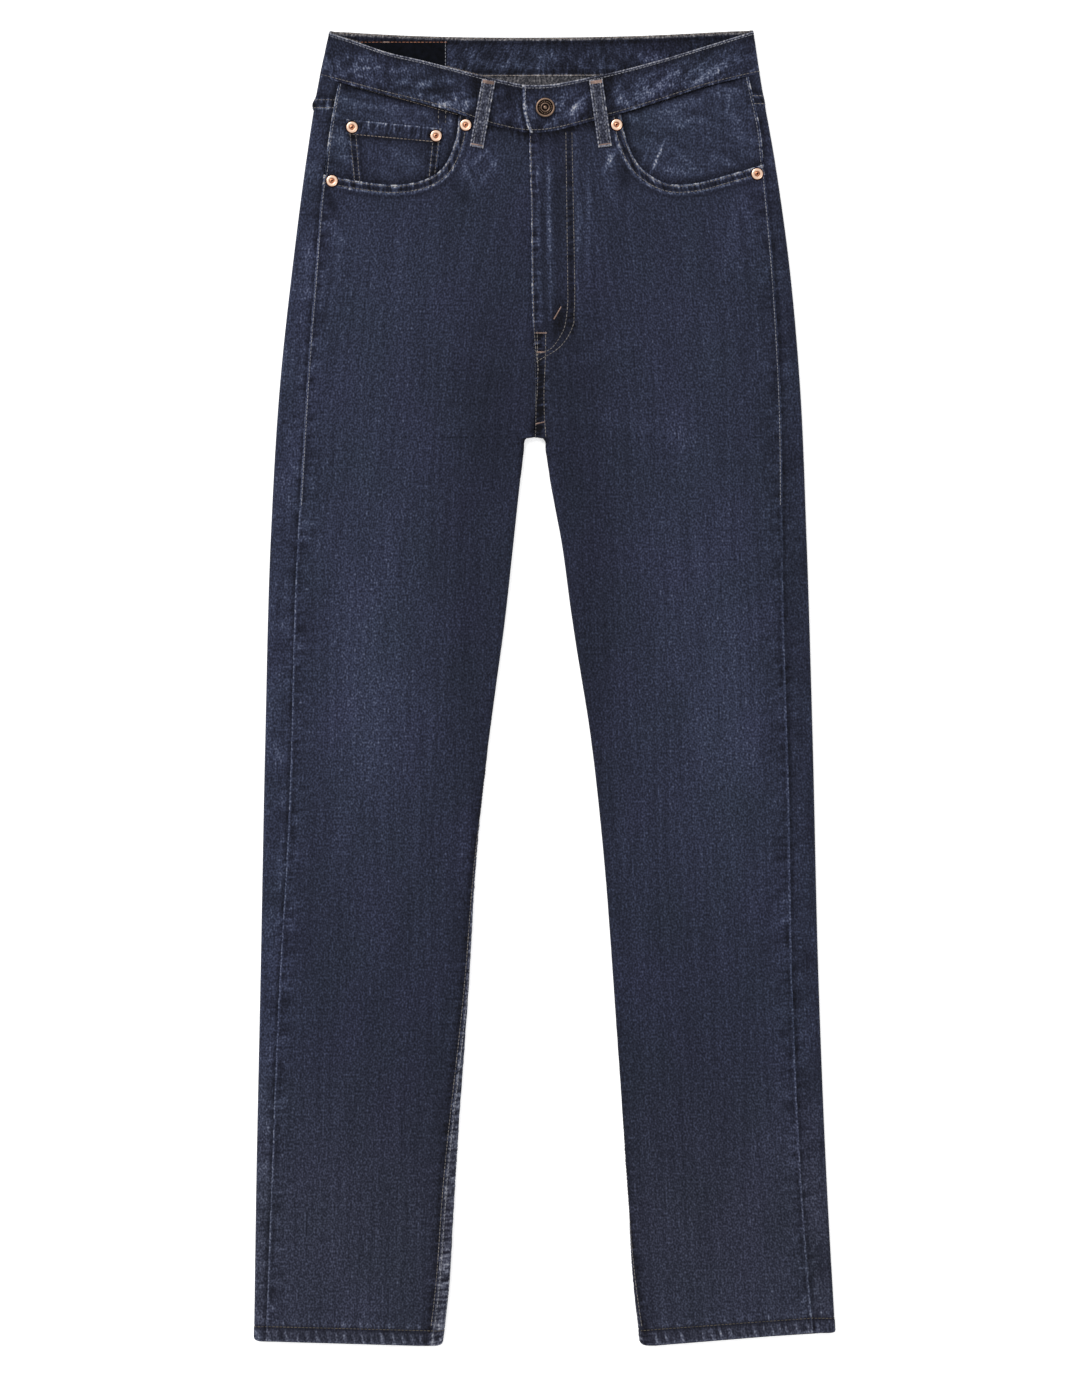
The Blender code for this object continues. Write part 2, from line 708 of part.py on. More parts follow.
def pocket_facing(half):
    """The denim behind the pocket's opening. It runs under the front panel."""
    inner_x = POCKET_EDGE[half.name][-1][0] * MM - half.sign * FACING_OVERLAP
    columns = []
    for across in spread(0, 1, FACING_STEPS):
        high_x = mix(half.outseam_x(FACING_TOP_LEVEL), inner_x, across)
        high = waist_y(high_x, True, "seam") - WAIST_GAP - SEAM
        low_x = mix(half.outseam_x(FACING_FOOT_LEVEL), inner_x, across)
        low = pocket_edge_y(half, low_x + half.sign * FACING_OVERLAP) - FACING_OVERLAP
        column = []
        for down in spread(0, 1, FACING_ROWS):
            y = mix(high, low, down)
            x = mix(half.outseam_x(y) - half.sign * FACING_GAP, inner_x, across)
            column.append(level_pair(x, y, facing_top(half, x, y)))
        columns.append(column)
    return cloth(f"pocket_facing_{half.name}", columns, "denim_facing")


def coin_pocket():
    """The small pocket that lies on the right facing. Its foot runs under the front panel."""
    rows = []
    for down in spread(0, 1, COIN_ROWS):
        ends = [mix(Vector(top), Vector(foot), down) * MM for top, foot in zip(COIN_TOP, COIN_FOOT)]
        spots = [mix(*ends, across) for across in spread(0, 1, COIN_STEPS)]
        rows.append([level_pair(x, y, facing_top(HALVES["right"], x, y) + COIN_RISE) for x, y in spots])
    return cloth("coin_pocket", rows)


ROUND_STEPS = 20
SAME_POINT = 1e-6
SHARP_ANGLE = math.radians(40)


def turned(name, profile, centre, finish):
    """A round piece turned from (radius, height) pairs about a vertical axis."""
    build = bmesh.new()
    ring = [build.verts.new((r, 0, z)) for r, z in profile]
    edges = [build.edges.new(pair) for pair in zip(ring, ring[1:])]
    full_turn = {"cent": (0, 0, 0), "axis": (0, 0, 1), "angle": 2 * math.pi}
    bmesh.ops.spin(build, geom=ring + edges, steps=ROUND_STEPS, use_merge=True, **full_turn)
    bmesh.ops.remove_doubles(build, verts=build.verts, dist=SAME_POINT)
    obj = add_object(name, build, finish)
    obj.location = centre
    obj.data.shade_smooth()
    obj.data.set_sharp_from_angle(angle=SHARP_ANGLE)
    return obj


def rivet(name, x, y):
    """A copper cap with a raised rim and a burr in its middle."""
    r, h = RIVET_RADIUS, RIVET_HEIGHT
    profile = [(0, 0), (r * 0.97, 0), (r, h * 0.35), (r * 0.86, h * 0.8), (r * 0.5, h * 0.9),
               (r * 0.36, h * 0.72), (r * 0.22, h), (0, h)]
    x, y = x * MM, y * MM
    on_coin = name.startswith("rivet_coin")
    level = facing_top(HALVES["right"], x - r, y) + COIN_RISE if on_coin else SEAT_HEIGHT
    return turned(name, profile, (x, y, level + SEAM), "copper")


def button():
    """The shank button at the waist, with a raised rim round its sunk middle."""
    r, h = BUTTON_RADIUS, BUTTON_HEIGHT
    stem = 0.42 * r
    profile = [(0, 0), (stem, 0), (stem, h * 0.3), (r * 0.96, h * 0.34), (r, h * 0.5), (r * 0.94, h * 0.9),
               (r * 0.84, h), (r * 0.7, h * 0.84), (r * 0.3, h * 0.84), (r * 0.22, h * 0.95), (0, h * 0.95)]
    x, y = (v * MM for v in BUTTON_AT)
    level = SEAT_HEIGHT + BAND_RISE + FLY_RISE + SEAM
    return turned("button", profile, (x, y, level), "antique_brass")


def zip_strip():
    """The closed zip behind the flap, tape and chain in one."""
    outer = CENTRE.at(ZIP_LEVEL, "seam") + FLY_UNDERLAP + ZIP_ASIDE
    inner = outer + ZIP_WIDTH
    top, foot = waist_y(outer, True, "seam") - ZIP_TOP_GAP, FLY_END + ZIP_FOOT_GAP
    outline = [(outer, top), (outer, foot), (inner, foot), (inner, top)]
    return flat_piece("zip", outline, SEAT_HEIGHT + FLY_RISE - CLOTH - SEAM, ZIP_THICKNESS, "zip")


def inner_label():
    """The bare label sewn inside the back waistband."""
    outline = [(x * MM, y * MM) for x, y in LABEL_CORNERS]
    return flat_piece("inner_label", outline, SEAT_LIFT + DOUBLE + SEAM + LABEL, LABEL, "label")


def build_jeans():
    clear_scene()
    for half in HALVES.values():
        front_panel(half)
        back_panel(half)
        yoke(half)
        back_pocket(half)
        pocket_facing(half)
    coin_pocket()
    waistband()
    for name, (top, foot) in FRONT_LOOPS.items():
        front_belt_loop(name, top, foot)
    for name, x in BACK_LOOPS.items():
        back_belt_loop(name, x)
    for name, (x, y) in RIVETS.items():
        rivet(name, x, y)
    button()
    zip_strip()
    inner_label()


build_jeans()
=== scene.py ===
"""Straight leg jeans laid flat on their back: the cloth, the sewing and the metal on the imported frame.

The front is up: +Y points to the waist, +Z out of the front, and the wearer's right side is at -X.
The cloth is in millimetres until it becomes a mesh; the metal and the studio are in metres. Each leg,
and the half of the seat above it, is a flattened tube. A place on it is the distance round the tube
from the outer fold, a height and a face.
"""

import sys

import logging
import math
from collections.abc import Iterable, Sequence
from dataclasses import dataclass, field, fields
from enum import Enum

import bpy
import numpy as np
from bpy.types import Material, Mesh, Node, NodeSocket, NodeTree, Object
from mathutils import Matrix, Vector


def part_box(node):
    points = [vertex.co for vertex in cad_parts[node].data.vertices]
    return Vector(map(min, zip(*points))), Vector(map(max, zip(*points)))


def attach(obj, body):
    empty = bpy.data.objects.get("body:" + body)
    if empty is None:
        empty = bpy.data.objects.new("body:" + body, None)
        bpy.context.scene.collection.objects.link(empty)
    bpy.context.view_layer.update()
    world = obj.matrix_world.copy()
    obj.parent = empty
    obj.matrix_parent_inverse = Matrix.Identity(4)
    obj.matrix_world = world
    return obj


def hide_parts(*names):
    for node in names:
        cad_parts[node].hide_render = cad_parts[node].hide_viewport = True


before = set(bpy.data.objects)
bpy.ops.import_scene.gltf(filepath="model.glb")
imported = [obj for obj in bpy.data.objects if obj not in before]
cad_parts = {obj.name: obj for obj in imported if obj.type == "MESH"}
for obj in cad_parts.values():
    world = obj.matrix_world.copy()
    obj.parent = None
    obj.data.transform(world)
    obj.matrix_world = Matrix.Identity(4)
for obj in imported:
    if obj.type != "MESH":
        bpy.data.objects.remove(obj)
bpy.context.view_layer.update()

LOG = logging.getLogger("jeans")
Array = np.ndarray
MM = 0.001
KNOTS, PATCHES = 4096, 512  # how many random values a line, and each way of a field, has
CURVE_STEPS = 3000  # places at which a table's curve is worked out
TINY = 1e-6

# Cloth, and the room between two pieces
CLOTH = 1.2
DOUBLE = 2.4
LAYER = 1.6
SEAM = 0.3
JOIN = 0.01  # half of the room between two panels that are sewn edge to edge

# The form of the laid garment, as the frame has it
SEAT_HEIGHT, LEG_HEIGHT, LEG_SAG = 7.9, 7.2, 1.9
CROTCH_Y, NOTCH_DEPTH, ROLL_LENGTH = 206.6, 10.6, 45
HEM_Y, HEM_HEIGHT, HEM_CORNER = -536, 12, 2.4
SEAT_LIFT, LIFT_RAMP, LIFT_FROM, LIFT_TO = LAYER, 14, 236, 276
FLY_END, FLY_RISE, FLY_WIDTH, FLY_DIP, FLY_UNDERLAP = 286, 0.8, 34, 1.0, 9
BAND_UNDERLAP, BAND_RISE, WAIST_GAP = 34, 0.8, 0.05
FACING_OVERLAP, COIN_RISE = 12, LAYER + 0.15
SEAT_ROW = 372  # below it the rows of a panel run straight across
GROUND_GAP = 0.6  # between the underside and the surface, where creases may stand out


class Side(Enum):
    """Which of the wearer's sides, with the sign of its X."""

    RIGHT = -1
    LEFT = 1

    @property
    def word(self) -> str:
        """The side as the frame's nodes name it."""
        return self.name.lower()


# ---------------------------------------------------------------- numbers


def ramp(value: Array | float, start: Array | float, end: Array | float) -> Array:
    """0 before start, 1 past end, and smooth between. start may be the larger."""
    t = np.clip((value - start) / (end - start), 0.0, 1.0)
    return t * t * (3 - 2 * t)


def mix(a: Array | float, b: Array | float, share: Array | float) -> Array:
    """The value that lies this share of the way from a to b."""
    return a + (b - a) * share


def bell(distance: Array, width: float) -> Array:
    """1 at no distance, falling softly to nothing at about two widths."""
    return np.exp(-((distance / width) ** 2))


def lines(away: Array, *rows: tuple[float, float, float]) -> Array:
    """Soft lines beside an edge: each row has a distance from it, a width and a strength."""
    return sum(strength * bell(away - at, width) for at, width, strength in rows)


def uneven(along: Array, swing: float, seed: int) -> Array:
    """A smooth random line.

    Args:
        along: Places on the line.
        swing: The usual length of a rise or a fall.
        seed: Which line.

    Returns:
        Values from -1 to 1 at those places.
    """
    knots = np.random.default_rng(seed).uniform(-1, 1, KNOTS)
    place = np.asarray(along) / swing + KNOTS // 2
    low = np.floor(place).astype(int)
    part = place - low
    return mix(knots[low % KNOTS], knots[(low + 1) % KNOTS], part * part * (3 - 2 * part))


def cloudy(u: Array, v: Array, size: tuple[float, float], seed: int) -> Array:
    """A smooth random field.

    Args:
        u: First coordinates.
        v: Second coordinates.
        size: The usual size of a patch along each.
        seed: Which field.

    Returns:
        Values from -1 to 1 at those places.
    """
    knots = np.random.default_rng(seed).uniform(-1, 1, (PATCHES, PATCHES))
    a, b = u / size[0] + PATCHES // 2, v / size[1] + PATCHES // 2
    i, j = np.floor(a).astype(int), np.floor(b).astype(int)
    s, t = a - i, b - j
    s, t = s * s * (3 - 2 * s), t * t * (3 - 2 * t)
    i, j, i1, j1 = (n % PATCHES for n in (i, j, i + 1, j + 1))
    return mix(mix(knots[i, j], knots[i1, j], s), mix(knots[i, j1], knots[i1, j1], s), t)


def graded(length: float, coarse: float, first: float, last: float) -> Array:
    """Shares from 0 to 1 along a length, whose steps grow from fine ends to a coarse middle.

    Args:
        length: The length that is shared out.
        coarse: The step in the middle.
        first: The step at the start.
        last: The step at the end.

    Returns:
        The shares, both ends among them.
    """
    ends = []
    for fine in (first, last):
        sizes = []
        while fine < coarse * 0.95:
            sizes.append(fine)
            fine *= 1.35
        ends.append(sizes)
    middle = max(length - sum(ends[0]) - sum(ends[1]), coarse)
    count = max(1, round(middle / coarse))
    steps = [*ends[0], *[middle / count] * count, *ends[1][::-1]]
    return np.concatenate([[0.0], np.cumsum(steps)]) / sum(steps)


def smooth_curve(points: Sequence[tuple[float, float]]) -> Array:
    """Close points along a smooth curve through these ones.

    Args:
        points: What it goes through.

    Returns:
        The points, in order.
    """
    ends = np.array(points, float)
    padded = np.vstack([2 * ends[0] - ends[1], ends, 2 * ends[-1] - ends[-2]])
    t = np.arange(0, 1, 0.05)[:, None]
    close = []
    for a, b, c, d in zip(padded, padded[1:], padded[2:], padded[3:]):
        bend = (2 * a - 5 * b + 4 * c - d) * t**2 + (3 * b - a - 3 * c + d) * t**3
        close.append(b + ((c - a) * t + bend) / 2)
    return np.vstack([*close, ends[-1:]])


def distances(curve: Array) -> Array:
    """How far along a line of points each one lies."""
    return np.concatenate([[0], np.cumsum(np.linalg.norm(np.diff(curve, axis=0), axis=1))])


def points_at(curve: Array, places: Array) -> Array:
    """The points that lie this far along a line."""
    return np.stack([np.interp(places, distances(curve), column) for column in curve.T], axis=1)


def along_curve(curve: Array, step: float) -> Array:
    """Points at even steps along a line of close points.

    Args:
        curve: The line.
        step: The distance between two points.

    Returns:
        The points, both ends among them.
    """
    length = distances(curve)[-1]
    return points_at(curve, np.linspace(0, length, max(2, round(length / step) + 1)))


def away_from(x: Array, y: Array, curve: Array) -> Array:
    """How far each place (x, y) is from the nearest part of a line of points.

    Args:
        x: Places across.
        y: Places up.
        curve: The line.

    Returns:
        The distances.
    """
    nearest = np.full(x.shape, np.inf)
    for (ax, ay), (bx, by) in zip(curve, curve[1:]):
        dx, dy = bx - ax, by - ay
        t = np.clip(((x - ax) * dx + (y - ay) * dy) / max(dx * dx + dy * dy, TINY), 0, 1)
        nearest = np.minimum(nearest, np.hypot(x - ax - t * dx, y - ay - t * dy))
    return nearest


class Table:
    """A short table of sizes, read along a smooth curve."""

    def __init__(self, *rows: tuple[float, ...]) -> None:
        """Samples the curve through the rows closely: a cubic, level past the ends.

        Args:
            rows: For each its place, then a value for each column.
        """
        values = np.array(sorted(rows), float)
        x = values[:, 0]
        self.along = np.linspace(x[0], x[-1], CURVE_STEPS)
        i = np.clip(np.searchsorted(x, self.along, "right") - 1, 0, len(x) - 2)
        width = x[i + 1] - x[i]
        t = (self.along - x[i]) / width
        self.columns = []
        for y in values[:, 1:].T:
            slopes, rise = np.gradient(y, x), y[i + 1] - y[i]
            early, late = slopes[i] * width - rise, slopes[i + 1] * width - rise
            self.columns.append(y[i] + t * rise + t * (1 - t) * ((1 - t) * early - t * late))

    def at(self, place: Array | float, column: int = 0) -> Array:
        """The column's value at each place."""
        return np.interp(place, self.along, self.columns[column])


# The outer and the inner folds, right then left, against y
OUTER = Table((541, -176.8, 171.0), (501, -185.3, 176.9), (434, -196.0, 188.6), (352, -206.6, 200.1),
              (253, -217.3, 209.1), (123, -225.2, 214.8), (-41, -229.7, 219.8), (-238, -233.6, 224.6),
              (-402, -237.0, 231.2), (-540, -239.0, 239.0))
INNER = Table((196, -17.2, 0.4), (155, -22.1, 6.8), (123, -25.4, 13.0), (57, -32.8, 22.1),
              (-41, -45.9, 37.7), (-140, -56.6, 48.4), (-238, -62.3, 55.8), (-402, -73.8, 67.2),
              (-500, -79.5, 73.8), (-540, -83.8, 78.2))
CENTRE = Table((540, -10.5), (456, -13.1), (400, -11.7), (298, -10.1), (255, -7.6), (206.6, -8.6))

# How far inside the outer fold the outseam lies, and how far round the inner fold the inseam
OUTSEAM = Table((500, 16.5, 9.2), (463, 15.6, 7.4), (411, 16.4, 10.8), (323, 20.0, 14.4), (212, 22.6, 17.3),
                (73, 21.6, 20.8), (-105, 20.6, 20.6), (-253, 15.2, 21.6), (-405, 12.4, 20.8),
                (-540, 9.6, 18.0))
INSEAM = Table((206, 0.0, 0.0), (170, -6.0, -8.0), (0, -5.0, -8.0), (-125, 1.0, -7.0), (-255, 4.5, -5.0),
               (-405, 10.0, -1.0), (-540, 12.5, 4.5))

# The waistband's top edge and its seam, against x
WAIST_FRONT = Table((-184, 540.5, 501.6), (-157, 531.6, 494.5), (-130, 522.3, 487.4), (-100, 515.3, 480.2),
                    (-80, 510.2, 474.8), (-40, 500.2, 461.0), (-10, 495.2, 456.0), (40, 502.3, 466.0),
                    (90, 514.5, 480.6), (130, 526.5, 493.6), (176, 541.0, 504.6))
WAIST_BACK = Table((-184, 540.5, 501.6), (-119, 536.6, 502.6), (0, 534.8, 503.0), (71, 536.0, 503.4),
                   (176, 541.0, 504.6))
TOP, FOOT = 0, 1
BACK_SEAM_Y, WAIST_ROUNDS = 503.0, 5  # a first guess at a height of the waist, and how often it is bettered

POCKET_EDGE = {
    Side.RIGHT: [(-182, 422), (-153, 416.6), (-123, 413.6), (-97.6, 418.2), (-82, 430), (-73, 452),
                 (-70.5, 473)],
    Side.LEFT: [(185, 432), (154, 422.8), (122, 414.6), (98, 415.4), (77, 429.6), (66, 453), (62.3, 474)],
}
YOKE_SIDE_Y = {Side.RIGHT: 480.5, Side.LEFT: 484.5}
YOKE_CENTRE_Y = 446
HEM_SLANT = {Side.RIGHT: (0.6, -3.0), Side.LEFT: (7.6, -2.8)}
FACING_DROP = {Side.RIGHT: 2 * LAYER + 0.1, Side.LEFT: LAYER}


@dataclass(frozen=True)
class LegTube:
    """The outer side of one leg and the half of the seat above it."""

    side: Side

    @property
    def column(self) -> int:
        """This side's column in the tables."""
        return 0 if self.side is Side.RIGHT else 1

    def outer(self, y: Array) -> Array:
        """X of the outer fold."""
        return OUTER.at(y, self.column)

    def inner(self, y: Array) -> Array:
        """X of the centre seam above the crotch, of the gap's round top, then of the inner fold.

        Args:
            y: Heights.

        Returns:
            X at each.
        """
        centre = CENTRE.at(np.maximum(y, CROTCH_Y)) + self.side.value * JOIN
        depth = np.clip((y - CROTCH_Y + NOTCH_DEPTH) / NOTCH_DEPTH, 0, 1)
        round_top = mix(centre, INNER.at(CROTCH_Y - NOTCH_DEPTH, self.column), (1 - depth**4) ** 0.25)
        leg = np.where(y < CROTCH_Y - NOTCH_DEPTH, INNER.at(y, self.column), round_top)
        return np.where(y >= CROTCH_Y, centre, leg)

    def height(self, y: Array) -> Array:
        """Height of the front's outer side over the surface below."""
        return mix(LEG_HEIGHT, SEAT_HEIGHT, ramp(y, -250, 260))

    def radius(self, y: Array) -> Array:
        """Radius of the folds."""
        return self.height(y) / 2

    def roll(self, y: Array) -> Array:
        """Angle by which the cloth has turned down at the inner seam."""
        return math.pi / 2 * (1 - ramp(y, CROTCH_Y, CROTCH_Y + ROLL_LENGTH))

    def fold(self, y: Array) -> Array:
        """Distance from the middle of the outer fold to where the cloth runs flat."""
        return math.pi / 2 * self.radius(y)

    def reach(self, y: Array) -> Array:
        """Distance from the outer fold to the inner one."""
        r, roll = self.radius(y), self.roll(y)
        return self.fold(y) + np.abs(self.inner(y) - self.outer(y)) - r - r * np.sin(roll) + r * roll

    def outseam(self, y: Array) -> Array:
        """Distance from the outer fold to the outseam, which is on the front."""
        return self.fold(y) + OUTSEAM.at(y, self.column) - self.radius(y)

    def outseam_x(self, y: Array) -> Array:
        """X of the outseam."""
        return self.outer(y) - self.side.value * OUTSEAM.at(y, self.column)

    def inseam(self, y: Array) -> Array:
        """How far round the inner fold the inseam lies: more than 0 is on the front."""
        return np.where(y < CROTCH_Y, INSEAM.at(y, self.column), 0.0)

    def q_at(self, x: Array, y: Array) -> Array:
        """The distance round the tube at which the front's flat run is at x."""
        return np.abs(x - self.outer(y)) - self.radius(y) + self.fold(y)

    def x_at(self, q: Array, y: Array) -> Array:
        """X at this distance round the tube, on the flat run."""
        return self.outer(y) - self.side.value * (q - self.fold(y) + self.radius(y))

    def place(self, q: Array, y: Array, face: int = 1, depth: Array | float = 0.0) -> Array:
        """Points on the tube.

        Args:
            q: Distances round it from the outer fold.
            y: Heights.
            face: 1 on the front and -1 on the back.
            depth: How far inside its outer side.

        Returns:
            The points, one for each place.
        """
        q, y, depth = np.broadcast_arrays(np.asarray(q, float), y, depth)
        reach, fold, r, roll = self.reach(y), self.fold(y), self.radius(y), self.roll(y)
        side = np.where(q < 0, -face, face)
        q = np.abs(q)
        over = (q > reach) & (y < CROTCH_Y)
        side, q = np.where(over, -side, side), np.where(over, 2 * reach - q, q)
        past = np.maximum(0.0, q - reach)
        q = q - past
        bend, turn = q / r, roll - (reach - q) / r
        inside = reach - r * roll - fold + r
        across = np.where(q < fold, r - (r - depth) * np.cos(bend),
                          np.where(q <= reach - r * roll, q - fold + r, inside + (r - depth) * np.sin(turn)))
        up = np.where(q < fold, (r - depth) * np.sin(bend),
                      np.where(q <= reach - r * roll, r - depth, (r - depth) * np.cos(turn)))
        x = self.outer(y) - self.side.value * (across + past)
        corner = (np.exp(-np.abs(x - self.outer(y)) / HEM_CORNER)
                  + np.exp(-np.abs(x - self.inner(y)) / HEM_CORNER))
        flat = ramp(q, fold, fold + LIFT_RAMP)
        sag = LEG_SAG * (1 - ramp(y, 120, 260)) * (1 - 0.4 * ramp(y, HEM_Y + 80, HEM_Y))
        sag = sag * flat * ramp(reach - q, r * roll, r * roll + LIFT_RAMP)
        lift = SEAT_LIFT * flat * ramp(y, LIFT_FROM, LIFT_TO)
        turned_up = y + HEM_CORNER * corner * ramp(y, HEM_Y + 14, HEM_Y)
        return np.stack([x, turned_up, r + side * up + np.where(side > 0, -sag, lift)], axis=-1)

    def waist(self, q: Array, face: int, column: int) -> Array:
        """Height of the waistband's top edge or seam at each distance round the tube.

        Args:
            q: Distances round the tube.
            face: 1 on the front and -1 on the back.
            column: TOP or FOOT.

        Returns:
            The heights.
        """
        y = np.full(np.shape(q), BACK_SEAM_Y)
        for _ in range(WAIST_ROUNDS):
            point = self.place(q, y, face)
            front, back = WAIST_FRONT.at(point[..., 0], column), WAIST_BACK.at(point[..., 0], column)
            y = np.where(point[..., 2] > self.radius(y), front, back)
        return y

    def slanted(self, y: Array, share: Array) -> Array:
        """Height of a straight row where it has crossed this share of the leg from its outer fold."""
        return y + mix(*HEM_SLANT[self.side], share) * ramp(y, -380, HEM_Y)


# ---------------------------------------------------------------- finishes


def colour(code: str) -> tuple[float, float, float, float]:
    """A linear colour from an sRGB hex code such as "#303343".

    Args:
        code: The code.

    Returns:
        Red, green, blue and an alpha of 1.
    """
    parts = [int(code[i:i + 2], 16) / 255 for i in (1, 3, 5)]
    linear = [p / 12.92 if p <= 0.04045 else ((p + 0.055) / 1.055) ** 2.4 for p in parts]
    return (*linear, 1.0)


def add_node(tree: NodeTree, kind: str, inputs: dict | None = None, **settings: object) -> Node:
    """Adds one node.

    Args:
        tree: The tree that gets it.
        kind: The node's type name.
        inputs: A value, a node or one of its outputs for each input, by name or number.
        settings: The node's own settings.

    Returns:
        The new node.
    """
    made = tree.nodes.new(kind)
    for name, value in settings.items():
        setattr(made, name, value)
    for name, value in (inputs or {}).items():
        if isinstance(value, Node):
            value = value.outputs[0]
        if isinstance(value, NodeSocket):
            tree.links.new(value, made.inputs[name])
        else:
            made.inputs[name].default_value = value
    return made


def new_material(name: str) -> tuple[Material, NodeTree, Node]:
    """A material with a bare Principled shader, its tree, and that shader.

    Args:
        name: Its name.

    Returns:
        The three of them.
    """
    made = bpy.data.materials.new(name)
    made.use_nodes = True
    made.node_tree.nodes.clear()
    shader = add_node(made.node_tree, "ShaderNodeBsdfPrincipled")
    add_node(made.node_tree, "ShaderNodeOutputMaterial", {"Surface": shader.outputs[0]})
    return made, made.node_tree, shader


def ramp_node(tree: NodeTree, value: NodeSocket, stops: Sequence[tuple[float, str]]) -> Node:
    """A colour ramp through the hex colours at these places.

    Args:
        tree: The tree that gets it.
        value: Where on the ramp.
        stops: Place and hex code of each stop.

    Returns:
        The ramp.
    """
    made = add_node(tree, "ShaderNodeValToRGB", {0: value})
    elements = made.color_ramp.elements
    while len(elements) < len(stops):
        elements.new(0.5)
    for element, (place, code) in zip(elements, stops):
        element.position, element.color = place, colour(code)
    return made


@dataclass(frozen=True)
class WashedDenim:
    """Indigo denim, rope dyed, woven in a 3/1 twill and washed.

    The dye sits on the outside of the warp yarns, so each uneven yarn shows as a short upright streak
    and the cloth pales wherever it has rubbed. It has no gloss.
    """

    name: str
    stops: tuple[tuple[float, str], ...]
    level: float = 0.0  # lighter above 0
    marbling: float = 1.0
    yarn_width: float = 1.35  # drawn as coarse as a fat yarn so that it shows
    yarn_length: float = 7.0
    speckle_size: float = 1.5
    grit: float = 1.0  # how strongly single yarns show
    twill_rise: float = math.radians(63)

    def material(self) -> Material:
        """The cloth's material, laid along the piece's own UV map in millimetres.

        Returns:
            The material.
        """
        made, tree, shader = new_material(self.name)
        flat = add_node(tree, "ShaderNodeUVMap", uv_map="cloth").outputs[0]

        def grain(size: tuple[float, float], turn: float = 0, detail: float = 1.0) -> NodeSocket:
            """Noise whose blobs have this size in millimetres, turned by an angle.

            Args:
                size: Of a blob, across and up.
                turn: The angle.
                detail: How many finer layers it has.

            Returns:
                The noise, about 0.5.
            """
            scale = (1 / size[0], 1 / size[1], 1.0)
            turned = add_node(tree, "ShaderNodeMapping", {"Vector": flat, "Rotation": (0, 0, turn)})
            placed = add_node(tree, "ShaderNodeMapping", {"Vector": turned, "Scale": scale})
            noise = {"Vector": placed, "Scale": 1.0, "Detail": detail, "Roughness": 0.5}
            return add_node(tree, "ShaderNodeTexNoise", noise, noise_dimensions="2D").outputs[0]

        def painted(name: str) -> NodeSocket:
            """An amount that was laid on the mesh."""
            return add_node(tree, "ShaderNodeAttribute", attribute_name=name).outputs["Fac"]

        def maths(operation: str, *values: NodeSocket | float) -> NodeSocket:
            """One step of arithmetic."""
            return add_node(tree, "ShaderNodeMath", dict(enumerate(values)), operation=operation).outputs[0]

        speckle = grain((self.speckle_size, self.speckle_size * 1.15), detail=0.0)
        yarns = grain((self.yarn_width, self.yarn_length))
        twill = grain((4.5, 0.9), -self.twill_rise, 0.0)
        clouds = grain((46, 70))
        ribs, pleats = grain((13.0, 3.0), 0.12), grain((3.0, 13.0), 0.22)
        swings = (
            (speckle, None, 0.38 * self.grit), (yarns, None, 0.20), (grain((4.5, 80)), None, 0.12),
            (twill, None, 0.10), (clouds, None, 0.06),
            (grain((9.0, 6.5), 0.5), "marble", 0.45 * self.marbling),
            (grain((34, 11), 0.45, 1.5), "marble", 0.75 * self.marbling),
            (ribs, "ribs", 1.0), (pleats, "pleats", 1.0),
        )
        level = 0.5 + self.level
        for noise, amount, strength in swings:
            swing = maths("MULTIPLY", maths("SUBTRACT", noise, 0.5), strength)
            level = maths("ADD", level, maths("MULTIPLY", swing, painted(amount)) if amount else swing)
        # Broad fades from washing with painted shade beside and below raised parts, then rubbed pale lines
        # with dark lines that are partly painted shade
        level = maths("ADD", level, maths("MULTIPLY", painted("fade"), 0.10))
        uneven_wear_and_shade = maths("MULTIPLY", painted("worn"), maths("ADD", 0.85, maths("MULTIPLY", speckle, 0.3)))
        level = maths("ADD", level, maths("MULTIPLY", uneven_wear_and_shade, 0.30))
        face = ramp_node(tree, level, self.stops)
        weft = ramp_node(tree, level, ((0.2, "#1b1b20"), (0.45, "#35353a"), (0.62, "#615f62"),
                                       (0.85, "#a19d9b")))
        both = add_node(tree, "ShaderNodeMix",
                        {"Factor": painted("reverse"), 6: face.outputs[0], 7: weft.outputs[0]},
                        data_type="RGBA")
        drift = add_node(tree, "ShaderNodeHueSaturation",
                         {"Hue": maths("ADD", 0.5, maths("MULTIPLY", maths("SUBTRACT", clouds, 0.5), 0.025)),
                          "Color": both.outputs[2]})
        bumps = maths("ADD", maths("MULTIPLY", yarns, 0.5),
                      maths("ADD", twill, maths("MULTIPLY", speckle, 0.7)))
        for noise, amount in ((ribs, "ribs"), (pleats, "pleats")):
            bumps = maths("ADD", bumps, maths("MULTIPLY", maths("MULTIPLY", noise, painted(amount)), 3.0))
        relief = add_node(tree, "ShaderNodeBump", {"Height": bumps, "Strength": 0.35, "Distance": 0.3 * MM})
        tree.links.new(drift.outputs[0], shader.inputs["Base Color"])
        tree.links.new(relief.outputs[0], shader.inputs["Normal"])
        shader.inputs["Roughness"].default_value = 0.92
        shader.inputs["Specular IOR Level"].default_value = 0.12
        return made


INDIGO = ((0.10, "#0b0b11"), (0.34, "#181a26"), (0.50, "#242736"), (0.66, "#363c51"), (0.82, "#60677b"),
          (1.0, "#a5a5a9"))


